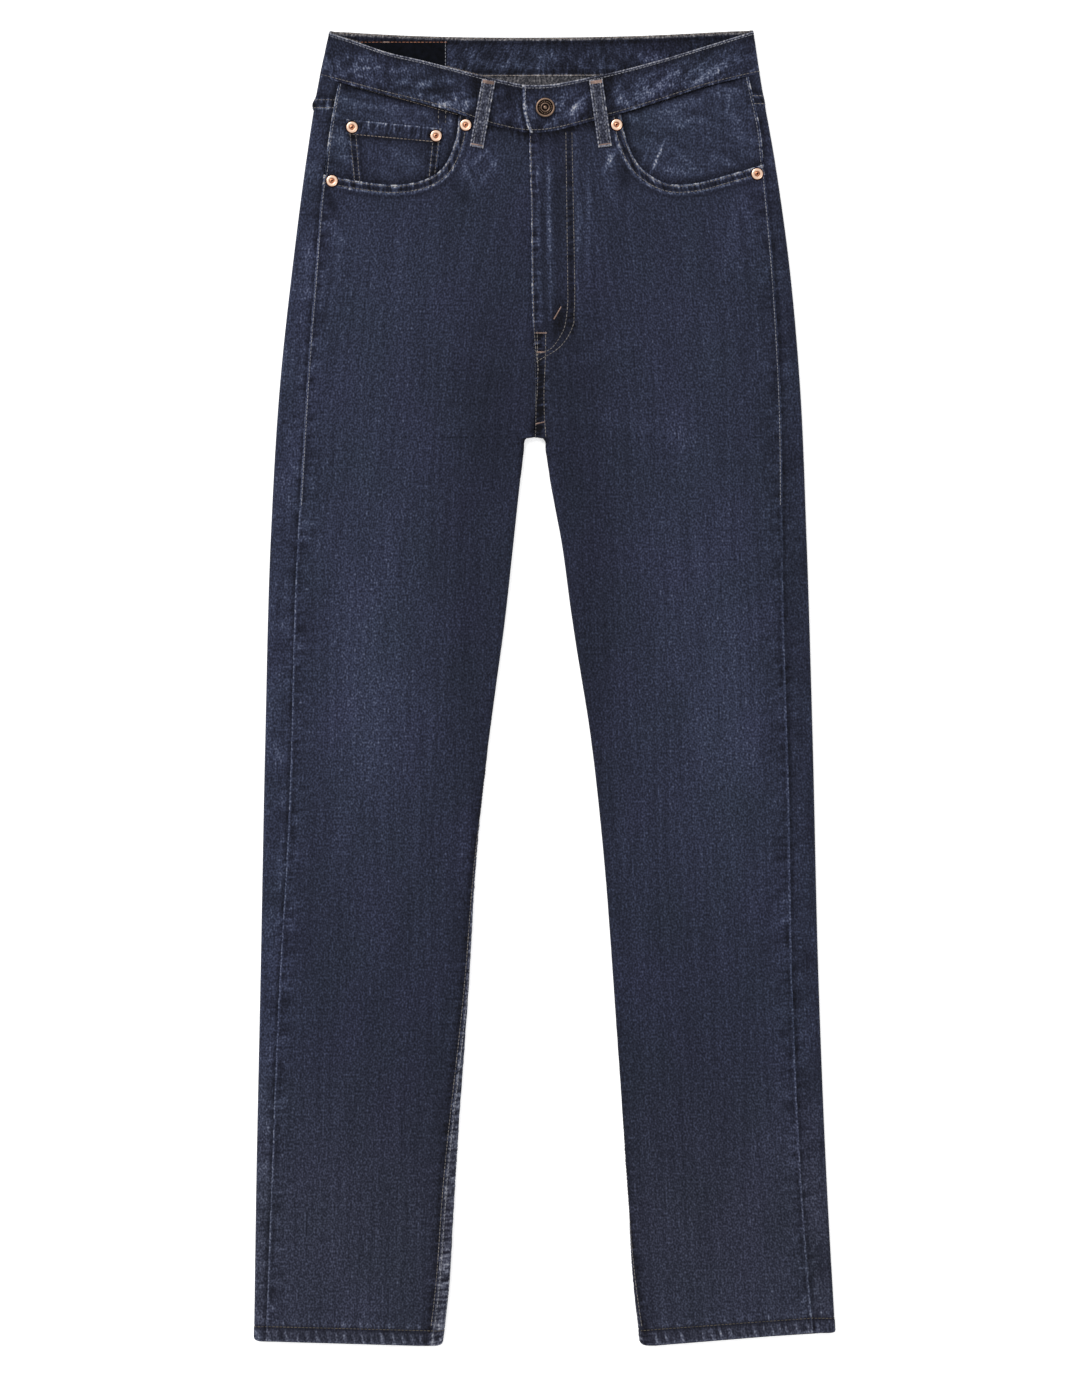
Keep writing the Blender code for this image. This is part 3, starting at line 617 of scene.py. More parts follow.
@dataclass(frozen=True)
class Mottled:
    """A finish whose colour drifts with one noise and whose surface is roughened by another."""

    name: str
    stops: tuple[tuple[float, str], ...]
    drift: tuple[float, float]  # scale and detail of the colour's noise
    grain: tuple[float, float]  # the same for the surface's
    bump: tuple[float, float]  # strength, and depth in millimetres
    roughness: float
    specular: float = 0.5
    metallic: float = 0.0
    glow: float = 0.0
    texture: str = "ShaderNodeTexNoise"

    def material(self) -> Material:
        """The finish's material. On metal the attribute "proud" says how far a place stands out; it is set
        low at a rivet's foot to paint its shadow.

        Returns:
            The material.
        """
        made, tree, shader = new_material(self.name)
        place = add_node(tree, "ShaderNodeTexCoord").outputs["Object"]
        drift, grain = (add_node(tree, self.texture,
                                 {"Vector": place, "Scale": scale, "Detail": detail}).outputs[0]
                        for scale, detail in (self.drift, self.grain))
        if self.metallic:
            proud = add_node(tree, "ShaderNodeAttribute", attribute_name="proud").outputs["Fac"]
            drift = add_node(tree, "ShaderNodeMath", {0: drift, 1: 0.5, 2: proud},
                             operation="MULTIPLY_ADD").outputs[0]
        strength, depth = self.bump
        relief = add_node(tree, "ShaderNodeBump",
                          {"Height": grain, "Strength": strength, "Distance": depth * MM})
        tree.links.new(ramp_node(tree, drift, self.stops).outputs[0], shader.inputs["Base Color"])
        tree.links.new(relief.outputs[0], shader.inputs["Normal"])
        for socket, value in (("Roughness", self.roughness), ("Specular IOR Level", self.specular),
                              ("Metallic", self.metallic), ("Emission Strength", self.glow)):
            shader.inputs[socket].default_value = value
        return made


def thread(name: str, dark: str, light: str) -> Mottled:
    """Corespun polyester sewing thread, mercerised cotton outside: a dull sheen, faded in patches."""
    return Mottled(name, ((0.32, dark), (0.68, light)), (110, 4), (2600, 1), (0.5, 0.1), 0.62, 0.3)


def stamped(name: str, hollow: str, body: str, proud: str, roughness: float) -> Mottled:
    """Sheet metal stamped to shape, bare or aged: bright where it stands proud, dark in its hollows and in
    the painted shadow at a rivet's foot.
    """
    return Mottled(name, ((0.18, hollow), (0.62, body), (1.0, proud)), (420, 3), (2857, 3), (0.3, 0.1),
                   roughness, metallic=1.0)


@dataclass
class Wardrobe:
    """Every finish's material, made once."""

    made: dict[str, Material] = field(default_factory=dict)

    def get(self, finish: WashedDenim | Mottled) -> Material:
        """The material of a finish.

        Args:
            finish: The finish.

        Returns:
            Its one material.
        """
        if finish.name not in self.made:
            self.made[finish.name] = finish.material()
        return self.made[finish.name]


WARDROBE = Wardrobe()
BODY_DENIM = WashedDenim("washed_indigo_denim", INDIGO)
BAND_DENIM = WashedDenim("rubbed_waistband_denim", INDIGO, marbling=0.75, grit=1.2)
FACING_DENIM = WashedDenim("pocket_facing_denim", INDIGO, level=0.01, marbling=0.7)
LOOP_DENIM = WashedDenim("belt_loop_denim", INDIGO, marbling=0.6, grit=1.35)
THREADS = {
    "tan": thread("faded_tan_thread", "#5c544d", "#968a80"),
    "brown": thread("olive_brown_thread", "#3a362f", "#5c5448"),
    "rust": thread("rust_label_thread", "#6a4435", "#a06a50"),
    "grey": thread("grey_blue_thread", "#5c5e68", "#8f9096"),
    "taupe": thread("taupe_thread", "#4d4a4a", "#7f7a76"),
    "tack": thread("bar_tack_thread", "#6b574f", "#a98e82"),
}
COPPER = stamped("stamped_copper", "#35150f", "#c98868", "#ffdcc2", 0.30)
AGED_COPPER = stamped("aged_copper", "#140f0e", "#4c3d35", "#8f7766", 0.42)
# A bare polyester label, woven in satin and dyed near black: matt, with a faint mottle
LABEL_SATIN = Mottled("dark_woven_label", ((0.3, "#040508"), (0.7, "#0a0c14")), (240, 5), (240, 5),
                      (0.4, 0.3), 0.75, 0.05)
# Woven polyester tape with a closed chain down its middle: navy, with a ribbed weave
ZIP_TAPE = Mottled("navy_zip_tape", ((0.0, "#12141d"), (1.0, "#222636")), (320, 0), (320, 0), (0.4, 0.1), 0.6,
                   texture="ShaderNodeTexWave")
# A sheet of opal acrylic, lit from below, as small goods are shown on without a shadow
LIGHT_TABLE = Mottled("opal_light_table", ((0.0, "#f9f9f9"), (1.0, "#fafafa")), (3, 2), (3, 2), (0.0, 0.1),
                      1.0, 0.0, glow=0.42)


# ---------------------------------------------------------------- cloth


@dataclass
class Paint:
    """What rubbing, washing and the two sides of the cloth have done to each place of a piece, and the shade
    painted on it beside and below raised parts.
    """

    # Below: rubbed pale lines, and dark lines beside seams and in troughs, partly painted shade; then broad
    # fades from washing, and painted shade beside and below raised parts
    worn: Array  # crisp pale lines on folded edges and ridges
    fade: Array  # broad light and dark
    marble: Array  # how strongly the puckers along the seams show
    reverse: Array  # 1 where the cloth's wrong side shows
    ribs: Array  # short puckers across a seam that runs along Y
    pleats: Array  # the same across a seam that runs along X

    @classmethod
    def plain(cls, like: Array) -> "Paint":
        """Nothing anywhere, in the shape of this grid."""
        return cls(*(np.zeros(like.shape[:2]) for _ in fields(cls)))


@dataclass
class Skin:
    """A wall of cloth: two grids of points, with the paint and the flat place of each."""

    name: str
    outer: Array
    inner: Array
    flat: Array
    paint: Paint
    inside: Paint | None = None

    def object(self, finish: WashedDenim) -> Object:
        """A closed mesh object of this wall, dressed in a denim.

        Args:
            finish: The finish.

        Returns:
            The object, with the UV map "cloth" and an attribute for each kind of paint.
        """
        rows, columns = self.outer.shape[:2]
        count = rows * columns
        index = np.arange(count).reshape(rows, columns)
        quads = np.stack([index[:-1, :-1], index[:-1, 1:], index[1:, 1:], index[1:, :-1]], -1).reshape(-1, 4)
        rim = np.concatenate([index[0], index[1:, -1], index[-1, -2::-1], index[-2:0:-1, 0]])
        after = np.roll(rim, -1)
        walls = np.stack([after, rim, rim + count, after + count], -1)
        faces = np.concatenate([quads, quads[:, ::-1] + count, walls])
        points = np.concatenate([self.outer.reshape(-1, 3), self.inner.reshape(-1, 3)])
        a, b, d = (points[quads[:, i]] for i in (0, 1, 3))
        out = points[quads[:, 0]] - points[quads[:, 0] + count]
        if np.sum(np.cross(b - a, d - a) * out) < 0:
            faces = faces[:, ::-1]
        mesh = mesh_from(self.name, points, faces)
        flat = np.concatenate([self.flat.reshape(-1, 2)] * 2)
        layer = mesh.uv_layers.new(name="cloth")
        layer.data.foreach_set("uv", flat[faces.ravel()].astype(np.float32).ravel())
        inside = self.inside or self.paint
        for name in (f.name for f in fields(Paint)):
            values = np.concatenate([np.broadcast_to(getattr(p, name), (rows, columns)).ravel()
                                     for p in (self.paint, inside)])
            mesh.attributes.new(name, "FLOAT", "POINT").data.foreach_set("value", values.astype(np.float32))
        return new_object(self.name, mesh, finish)


def mesh_from(name: str, points: Array, faces: Array) -> Mesh:
    """A smooth mesh from points and four-cornered faces.

    Args:
        name: Its name.
        points: The points, in millimetres.
        faces: Four points for each face.

    Returns:
        The mesh, in metres.
    """
    mesh = bpy.data.meshes.new(name)
    mesh.vertices.add(len(points))
    mesh.vertices.foreach_set("co", (points * MM).astype(np.float32).ravel())
    mesh.loops.add(faces.size)
    mesh.loops.foreach_set("vertex_index", faces.astype(np.int32).ravel())
    mesh.polygons.add(len(faces))
    mesh.polygons.foreach_set("loop_start", np.arange(0, faces.size, 4, dtype=np.int32))
    mesh.update(calc_edges=True)
    mesh.validate()
    mesh.shade_smooth()
    return mesh


def new_object(name: str, mesh: Mesh, finish: object) -> Object:
    """An object at the origin with this mesh and finish.

    Args:
        name: Its name.
        mesh: Its mesh.
        finish: Its finish.

    Returns:
        The object.
    """
    mesh.materials.clear()
    mesh.materials.append(WARDROBE.get(finish))
    made = bpy.data.objects.new(name, mesh)
    bpy.context.scene.collection.objects.link(made)
    return made


def settle(piece: Object, slot: str | None, *nodes: str) -> Object:
    """Puts a finished piece on the frame in place of its nodes, and reports it.

    Args:
        piece: The piece.
        slot: The frame's name for its finish; not used.
        nodes: The nodes that it stands for.

    Returns:
        The same piece.
    """
    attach(piece, "root")
    if nodes:
        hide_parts(*nodes)
    LOG.info("%s: %d faces", piece.name, len(piece.data.polygons))
    return piece


def lay(skin: Skin, finish: WashedDenim | Mottled, size: tuple[float, float], node: str, *on: str,
        slot: str = "denim") -> Object:
    """Makes a sheet of cloth and puts it on the frame.

    Args:
        skin: Its wall.
        finish: Its cloth.
        size: Width and length of the rectangle that it is cut from; not used.
        node: The frame's node that it stands for.
        on: The nodes that it lies on; not used.
        slot: The frame's name for its finish.

    Returns:
        The finished piece.
    """
    piece = settle(skin.object(finish), slot, node)
    return piece


# Where the front has set into folds: at the hips, below the loops, round the fork, knees and shins.
# Each runs from one place to another, has a height and a width, and has rubbed this much; a trough whose wear
# is below 0 is darkened with painted shade.
FRONT_CREASES = (
    (-63, 428, -44, 444, 0.35, 1.8, 0.6), (-69, 436, -56, 404, 0.35, 1.6, 0.55),
    (-50, 443, -36, 421, 0.3, 1.6, 0.5), (-62, 440, -46, 408, 0.25, 1.4, 0.3),
    (-56, 410, -34, 442, 0.3, 2.6, 0.35), (-66, 418, -40, 424, -0.3, 3.5, 0),
    (-60, 452, -74, 396, 0.3, 4, 0.15), (35.5, 432, 35.5, 330, 0.3, 1.7, 0.5),
    (29, 400, 27, 355, 0.3, 3, 0.32), (47, 424, 63, 449, 0.3, 2.4, 0.75),
    (56, 424, 50, 446, 0.2, 1.8, 0.45), (64, 432, 66, 408, -0.2, 3.5, -0.55),
    (47, 430, 58, 392, 0.3, 3, 0.25), (-76, 420, -64, 396, -0.2, 5, -0.35),
    (-180, 412, -170, 384, -0.25, 4, -0.6), (-178, 385, -160, 360, 0.25, 4, 0.2),
    (54, 440, 74, 400, -0.25, 3.5, 0), (158, 408, 146, 330, 0.35, 4, 0.18),
    (160, 408, 180, 352, 0.35, 4, 0.18), (172, 402, 183, 340, -0.3, 3, 0),
    (-176, 404, -168, 330, 0.3, 4, 0.15), (-150, 398, -188, 330, -0.3, 5, 0),
    (-20, 262, -92, 292, 0.45, 7, 0.1), (-24, 246, -120, 250, -0.4, 8, 0),
    (-26, 232, -98, 206, 0.45, 7, 0.08), (-30, 214, -84, 166, -0.35, 7, 0),
    (6, 262, 80, 288, 0.45, 7, 0.1), (10, 246, 128, 236, -0.45, 8, 0), (12, 232, 150, 196, 0.5, 8, 0.1),
    (16, 214, 82, 160, -0.4, 7, 0), (60, 322, 150, 306, 0.35, 9, 0), (-60, 332, -160, 312, 0.3, 9, 0),
    (-215, 60, -120, 84, -0.35, 11, 0), (-60, -20, -150, 8, 0.35, 10, 0.05),
    (-218, -60, -130, -34, 0.35, 10, 0), (-74, -96, -170, -72, -0.4, 12, 0),
    (44, 52, 140, 78, 0.35, 10, 0), (206, 6, 120, 34, -0.4, 12, 0), (52, -44, 150, -20, 0.4, 11, 0.05),
    (210, -96, 120, -70, 0.35, 10, 0), (66, -180, 170, -150, -0.35, 13, 0),
    (-84, -230, -190, -200, 0.3, 13, 0), (-216, -330, -120, -300, -0.3, 12, 0),
    (212, -300, 110, -270, 0.3, 12, 0), (84, -420, 190, -396, -0.3, 12, 0),
)

# Smears on the waistband, and the keyhole's creases beside the button
BAND_CREASES = (
    (6, 480.8, 18, 477.6, 0.2, 0.9, 1), (7, 473.6, 18, 477.2, 0.2, 0.9, 0.8),
    (19.5, 470.5, 26.5, 481.5, 0.2, 1.5, 0.6), (-4, 458, 12, 466, 0.2, 2.6, 0.5),
    (-9, 484, -11, 462, 0.2, 2, 0.35), (-96, 478, -62, 474, 0.2, 4.5, 0.42),
    (-104, 486, -74, 480, 0.2, 5, 0.3), (-176, 524, -120, 506, 0.2, 6, 0.12),
    (-172, 512, -128, 499, 0.2, 4, 0.12), (58, 478, 92, 490, 0.2, 5, 0.42),
    (64, 472, 84, 479, 0.2, 2.4, 0.4), (104, 490, 142, 503, 0.2, 4, 0.18),
    (116, 503, 164, 522, 0.2, 5.5, 0.12), (-34, 466, -24, 478, 0.2, 2.4, 0.35),
)

# Smears inside the back of the waistband
INSIDE_CREASES = (
    (-76, 530, -74.6, 506, 0.2, 3, 0.5), (-63, 530, -61.5, 507, 0.2, 2.6, 0.35),
    (-40, 505, -20, 525, 0.2, 2, 0.45), (-42, 511, -26, 508, 0.2, 5, 0.35),
    (-18, 510, 7, 508, 0.2, 5, 0.5), (-40, 524, 2, 526, 0.2, 6, 0.28), (28, 519, 30, 504, 0.2, 2, 0.35),
    (43.5, 517, 46, 504, 0.2, 2, 0.4), (70, 512, 110, 520, 0.2, 4, 0.25), (-8, 516, 22, 522, 0.2, 4, 0.18),
)

# The folds of the underside, which lies flatter
BACK_CREASES = (
    (-30, 330, -150, 300, 0.35, 9, 0), (-26, 300, -130, 262, -0.3, 8, 0), (20, 330, 140, 296, 0.35, 9, 0),
    (14, 296, 120, 256, -0.3, 8, 0), (-36, 214, -150, 186, 0.3, 7, 0), (-44, 150, -160, 140, -0.3, 8, 0),
    (22, 210, 140, 176, 0.35, 7, 0), (30, 150, 150, 132, -0.3, 8, 0), (-60, 10, -190, 30, 0.35, 10, 0),
    (-70, -30, -180, -50, -0.3, 9, 0), (50, 0, 180, 26, 0.35, 10, 0), (60, -50, 190, -36, -0.35, 9, 0),
    (-90, -300, -200, -280, 0.3, 12, 0), (90, -320, 200, -296, -0.3, 12, 0),
)

FACING_CREASES = {
    Side.RIGHT: (
        (-78, 462, -74, 440, 0.5, 1.3, 0.5), (-80, 470, -75, 462, 0.3, 2.2, 0.7),
        (-176, 486, -120, 474, 0.4, 3, 0.3), (-130, 480, -90, 471, 0.4, 3, 0.3),
        (-170, 470, -160, 430, 0.3, 3, 0.15),
    ),
    Side.LEFT: (
        (99, 452, 86, 420, 0.7, 0.9, 1.25), (84, 444, 78, 424, 0.4, 1.3, 0.5),
        (110, 436, 128, 424, 0.4, 3, 0.4), (94, 428, 120, 422, 0.3, 2.5, 0.35),
        (110, 470, 160, 462, -0.4, 4, 0), (152, 488, 148, 470, 0.4, 1.2, 0.55),
        (150, 480, 164, 440, 0.4, 4, 0.25), (90, 470, 120, 440, -0.35, 5, 0),
        (74, 470, 130, 484, 0.3, 4, 0.25), (84, 458, 150, 470, 0.3, 3, 0.18),
    ),
}

# Where washing has left the front lighter or darker: centre, reach each way, and how much
FADES = (
    (-146, 60, 46, 170, 0.55), (-150, -30, 30, 90, 0.35), (-120, 330, 60, 60, 0.30),
    (-160, 300, 40, 150, 0.20), (-60, 60, 26, 190, -0.55), (-40, 240, 26, 80, -0.65),
    (-100, -330, 60, 140, -0.45), (-190, -250, 26, 220, -0.10), (150, -30, 36, 140, 0.60),
    (116, 130, 40, 150, 0.25), (128, 330, 50, 70, 0.10), (36, 60, 24, 190, -0.70),
    (20, 250, 26, 90, -0.50), (204, 120, 20, 220, -0.30), (120, -340, 60, 150, -0.45),
    (200, 360, 24, 120, -0.35),
)


def box(node: str) -> tuple[Vector, Vector]:
    """The two far corners of a node's box."""
    return tuple(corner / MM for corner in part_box(node))


def creased(creases: Iterable[Sequence[float]], x: Array, y: Array) -> tuple[Array, Array]:
    """All of these creases together, as soft ridges and troughs.

    Args:
        creases: For each its two ends, its height, its width and its wear, which below 0 is painted shade.
        x: Places across.
        y: Places up.

    Returns:
        How far they lift each place, and how much they have rubbed there, less the painted shade in troughs.
    """
    lift, worn = np.zeros(x.shape), np.zeros(x.shape)
    for ax, ay, bx, by, height, width, wear in creases:
        dx, dy = bx - ax, by - ay
        along = ((x - ax) * dx + (y - ay) * dy) / (dx * dx + dy * dy)
        aside = ((x - ax) * dy - (y - ay) * dx) / math.hypot(dx, dy)
        shape = bell(aside, width) * ramp(along, -0.15, 0.35) * ramp(along, 1.15, 0.6)
        lift, worn = lift + height * shape, worn + wear * shape
    return lift, worn


def faded(x: Array, y: Array) -> Array:
    """The broad light and dark of the front at each place.

    Args:
        x: Places across.
        y: Places up.

    Returns:
        More than 0 where it is lighter.
    """
    total = np.zeros(x.shape)
    for cx, cy, rx, ry, amount in FADES:
        total += amount * np.exp(-(((x - cx) / rx) ** 2) - ((y - cy) / ry) ** 2)
    return total


RAISED = 0.05  # of a thread's middle over the cloth


class Runs:
    """Lines of sewing waiting to be stitched, by thread."""

    def __init__(self) -> None:
        """No lines yet."""
        self.lines: dict[tuple[str, str], list[tuple[Array, Array]]] = {}

    def add(self, group: str, kind: str, points: Array, up: Array, raised: float = RAISED) -> None:
        """Keeps one line of points on the cloth with the outward direction at each, raised this much."""
        line = (points + up * raised, np.broadcast_to(up, points.shape))
        self.lines.setdefault((group, kind), []).append(line)


RUNS = Runs()
UP, DOWN = np.array([0.0, 0.0, 1.0]), np.array([0.0, 0.0, -1.0])
SEW_STEP, TACK_STEP = 1.5, 0.5  # between the places that guide a row of stitches, and a bar tack
SEAM_STEP = 2  # the same along a seam
# How far from its edge each row of stitches lies
POCKET_ROWS, COIN_ROWS, YOKE_ROWS, FELL_ROWS = (1.4, 6.4), (1.4, 6.6), (1.6, 8.0), (1.6, 9.4)
SEAT_ROWS = {Side.RIGHT: 8.4, Side.LEFT: 2.2}
BAND_ROWS = {"grey": 2.0, "taupe": 33.6}
INSEAM_ROW, OUTSEAM_ROW = 1.4, 1.6
FAR = 1000.0
POCKET_FOOT = 390  # no pocket's edge lies lower
HEM_ROW = HEM_Y + HEM_HEIGHT + 0.3  # height of the hem's stitches
UNDULATION = 0.45  # of the front where it lies free


@dataclass
class Panel:
    """What the front legs, back legs and yokes share: a strip of the tube, with its relief and paint."""

    side: Side
    tube: LegTube = field(init=False)

    face = 1
    part = ""  # as its node is named
    below = ()  # the parts that it lies on
    cut = (0, 0)  # width and length of the rectangle that it is cut from

    def __post_init__(self) -> None:
        """Finds the tube that this panel is a strip of."""
        self.tube = LegTube(self.side)

    def ends(self, y: Array) -> tuple[Array, Array]:
        """Distances round the tube of the panel's two long edges."""
        raise NotImplementedError

    def relief(self, q: Array, y: Array) -> tuple[Array, Paint]:
        """How far the cloth stands out at each place, and its paint."""
        raise NotImplementedError

    def lift(self, q: Array, y: Array) -> Array:
        """How far the whole cloth is raised over the tube."""
        return np.zeros(np.shape(q))

    def rest(self, q: Array, y: Array) -> Array:
        """Depth at which the cloth lies where it faces the surface below."""
        return np.zeros(np.shape(q))

    def surface(self, q: Array, y: Array, below: float = 0.0) -> Array:
        """Points on the panel's outer side, or this far below it.

        Args:
            q: Distances round the tube.
            y: Heights.
            below: How far below.

        Returns:
            The points.
        """
        stand, _ = self.relief(q, y)
        points = self.tube.place(q, y, self.face, self.rest(q, y) - stand + below)
        points[..., 2] += self.lift(q, y)
        return points

    def sew(self, group: str, kind: str, q: Array, y: Array) -> None:
        """Adds a line of stitches along these places.

        Args:
            group: Which piece of sewing it belongs to.
            kind: Its thread.
            q: Distances round the tube.
            y: Heights.
        """
        line = self.surface(np.asarray(q), np.asarray(y))
        deeper = self.surface(np.asarray(q), np.asarray(y), 1)
        up = line - deeper
        up = up / np.linalg.norm(up, axis=-1, keepdims=True)
        RUNS.add(group, kind, line, up)

    def skin(self) -> Skin:
        """The panel's wall."""
        raise NotImplementedError

    def stitch(self) -> None:
        """Lines up the panel's stitches."""
        raise NotImplementedError

    def build(self) -> Object:
        """Makes the panel and lines up its stitches.

        Returns:
            The finished piece.
        """
        skin = self.skin()
        self.stitch()
        word = self.side.word
        return lay(skin, BODY_DENIM, self.cut, f"{self.part}_{word}", *(f"{on}_{word}" for on in self.below))


def unrolled(y: Array) -> Array:
    """0 where the two halves of the seat turn down against each other, and 1 elsewhere."""
    return np.where(y < CROTCH_Y, 1.0, ramp(y, CROTCH_Y + 20, CROTCH_Y + ROLL_LENGTH + 5))


def hem_band(q: Array, above: Array, seed: int) -> tuple[Array, Array, Array]:
    """The turned-up hem: a raised band with the slanting ridges that a pulled seam gives.

    Args:
        q: Distances along the hem.
        above: Heights over its edge.
        seed: Which hem.

    Returns:
        How far each place stands out, its rubbed lines, and its pleats.
    """
    band = ramp(above, HEM_HEIGHT + 1.2, HEM_HEIGHT - 0.6)
    phase = (q + 0.25 * above + 3.2 * uneven(q, 13, seed + 7)) / 7.8
    rope = bell(phase - np.round(phase), 0.14) * (0.65 + 0.35 * uneven(q, 9, seed)) - 0.16
    inside = bell(above - 5.2, 4.6)
    over = bell(above - HEM_HEIGHT - 3.4, 2.4)
    stand = 0.30 * band + 0.34 * rope * inside + 0.22 * rope * over
    stand -= 0.35 * bell(above - HEM_HEIGHT - 0.4, 1.0) + 0.5 * bell(above, 0.8)
    worn = 1.30 * rope * inside + 0.34 * bell(above - 0.8, 1.0) + (0.50 * rope + 0.10) * over
    worn -= 0.62 * bell(above - HEM_HEIGHT + 0.4, 1.6)
    pleats = 0.3 * bell(above - 6, 4.6) + 0.4 * bell(above - HEM_HEIGHT - 3.2, 2.4)
    return stand, worn, pleats


@dataclass
class FrontLeg(Panel):
    """A front leg: from the waist seam and the pocket's edge down to the hem."""

    pocket: Array = field(init=False)

    part = "front"
    below = ("back",)
    cut = (225, 1000)

    def __post_init__(self) -> None:
        """Finds the pocket's edge, up to the waist seam."""
        super().__post_init__()
        curve = smooth_curve(POCKET_EDGE[self.side])
        self.pocket = curve[curve[:, 1] < WAIST_FRONT.at(curve[:, 0], FOOT) - WAIST_GAP]

    def ends(self, y: Array) -> tuple[Array, Array]:
        """The outseam, and the inseam or the fly's edge."""
        lap = FLY_UNDERLAP * ramp(y, FLY_END, FLY_END + 20) if self.side is Side.RIGHT else 0.0
        return self.tube.outseam(y) + JOIN, self.tube.reach(y) - self.tube.inseam(y) - JOIN + lap

    def lift(self, q: Array, y: Array) -> Array:
        """The left front rises along the fly, and the right one sinks under it.

        Args:
            q: Distances round the tube.
            y: Heights.

        Returns:
            How far each place is raised.
        """
        above = ramp(y, FLY_END - 20, FLY_END)
        inside = self.tube.reach(y) - q
        if self.side is Side.LEFT:
            return FLY_RISE * above * ramp(inside, FLY_WIDTH + 10, FLY_WIDTH)
        return -FLY_DIP * above * ramp(inside, 4, 0.5)

    def relief(self, q: Array, y: Array) -> tuple[Array, Paint]:
        """Puckers along the seams, the pocket's and hem's bands, and the creases.

        Args:
            q: Distances round the tube.
            y: Heights.

        Returns:
            How far each place stands out, and the paint.
        """
        tube, seed = self.tube, 20 + self.side.value
        start, end = self.ends(y)
        out, inside = q - start, end - q
        x = tube.x_at(q, y)
        above = y - tube.slanted(HEM_Y, np.clip(out / (end - start), 0, 1))
        middle = ramp(out, 4, 26) * ramp(inside, 4, 26)
        creases, worn = creased(FRONT_CREASES, x, y)
        stand = UNDULATION * middle * cloudy(x, y, (42, 70), seed) + creases * ramp(inside, 0, 8)
        paint = Paint.plain(np.atleast_2d(q))
        paint.fade += faded(x, y)

        # The outseam: short puckers, a rolled edge and a crisp rubbed line
        pucker = uneven(y + 0.6 * out, 5.2, seed + 2)
        near = np.exp(-out / 5.5)
        clear = ramp(out, 1.2, 3.0)
        stand += 0.30 * pucker * near - 0.50 * bell(out, 0.8)
        worn = worn + lines(out, (0.6, 0.8, 0.72), (3.2, 1.4, -0.22)) + 0.36 * pucker * near * clear
        below = 0.60 * clear * ramp(y, 500, 380)
        paint.ribs += np.exp(-out / 8) * below
        paint.marble += np.exp(-out / 9) * below

        # The inseam, and the centre seam above it
        ribs = uneven(y - 0.5 * inside, 3.0, seed + 9)
        leg = ramp(y, CROTCH_Y + 30, CROTCH_Y - 10)
        near = np.exp(-inside / 4.5)
        stand += 0.24 * ribs * near * (0.4 + 0.6 * leg) - 0.40 * bell(inside, 0.7) * unrolled(y)
        worn += (0.22 * ribs * near + lines(inside, (0.5, 0.8, 0.45))) * leg
        paint.fade -= 1.3 * np.exp(-inside / 7) * (0.35 + 0.65 * leg) * ramp(y, 330, 250)
        paint.fade -= lines(inside, (3, 2.5, 1.0)) * leg
        paint.marble = np.maximum(paint.marble, 0.35 * near * leg)
        paint.ribs = np.maximum(paint.ribs, 0.8 * np.exp(-inside / 7) * leg)

        # The pocket's edge: a turned band between its two rows of stitches
        edge = np.full(np.shape(y), FAR)
        high = np.asarray(y > POCKET_FOOT)
        if np.any(high):
            edge[high] = away_from(np.asarray(x)[high], np.asarray(y)[high], self.pocket[::2])
        band = ramp(edge, 8.2, 7.0)
        ripple = uneven(x * 1.3 + y + 0.3 * edge, 2.6, seed + 12) * bell(edge - 4, 3)
        stand += (0.26 * band * ramp(edge, 0, 1) + 0.15 * ripple
                  - lines(edge, (7.4, 0.8, 0.30), (0, 0.7, 0.45)))
        worn += 0.20 * ripple + lines(edge, (0.6, 0.85, 0.95), (2.2, 0.7, 0.35), (4.3, 1.3, -0.65),
                                      (7.4, 0.9, 0.85), (10.5, 1.6, -0.35))

        # The waist seam, which the band shades
        down = WAIST_FRONT.at(x, FOOT) - y
        under = ramp(down, 14, 1)
        gather = uneven(x, 2.7, seed + 15) * under
        stand += 0.22 * gather
        worn += 0.20 * gather - lines(down, (0, 3.4, 0.75))
        paint.fade -= lines(down, (0, 8, 1.2))

        hem = hem_band(-self.side.value * q, above, seed + 30)
        paint.pleats += np.maximum(np.maximum(0.95 * band, 0.7 * under), hem[2])
        paint.reverse += 0.10 * ramp(y, -250, -450) + 0.08 * ramp(above, 16, 8)
        stand += hem[0]
        worn += hem[1]
        paint.worn += worn
        if self.side is Side.LEFT:
            stand += self.fly(paint, inside, y)
        return stand, paint

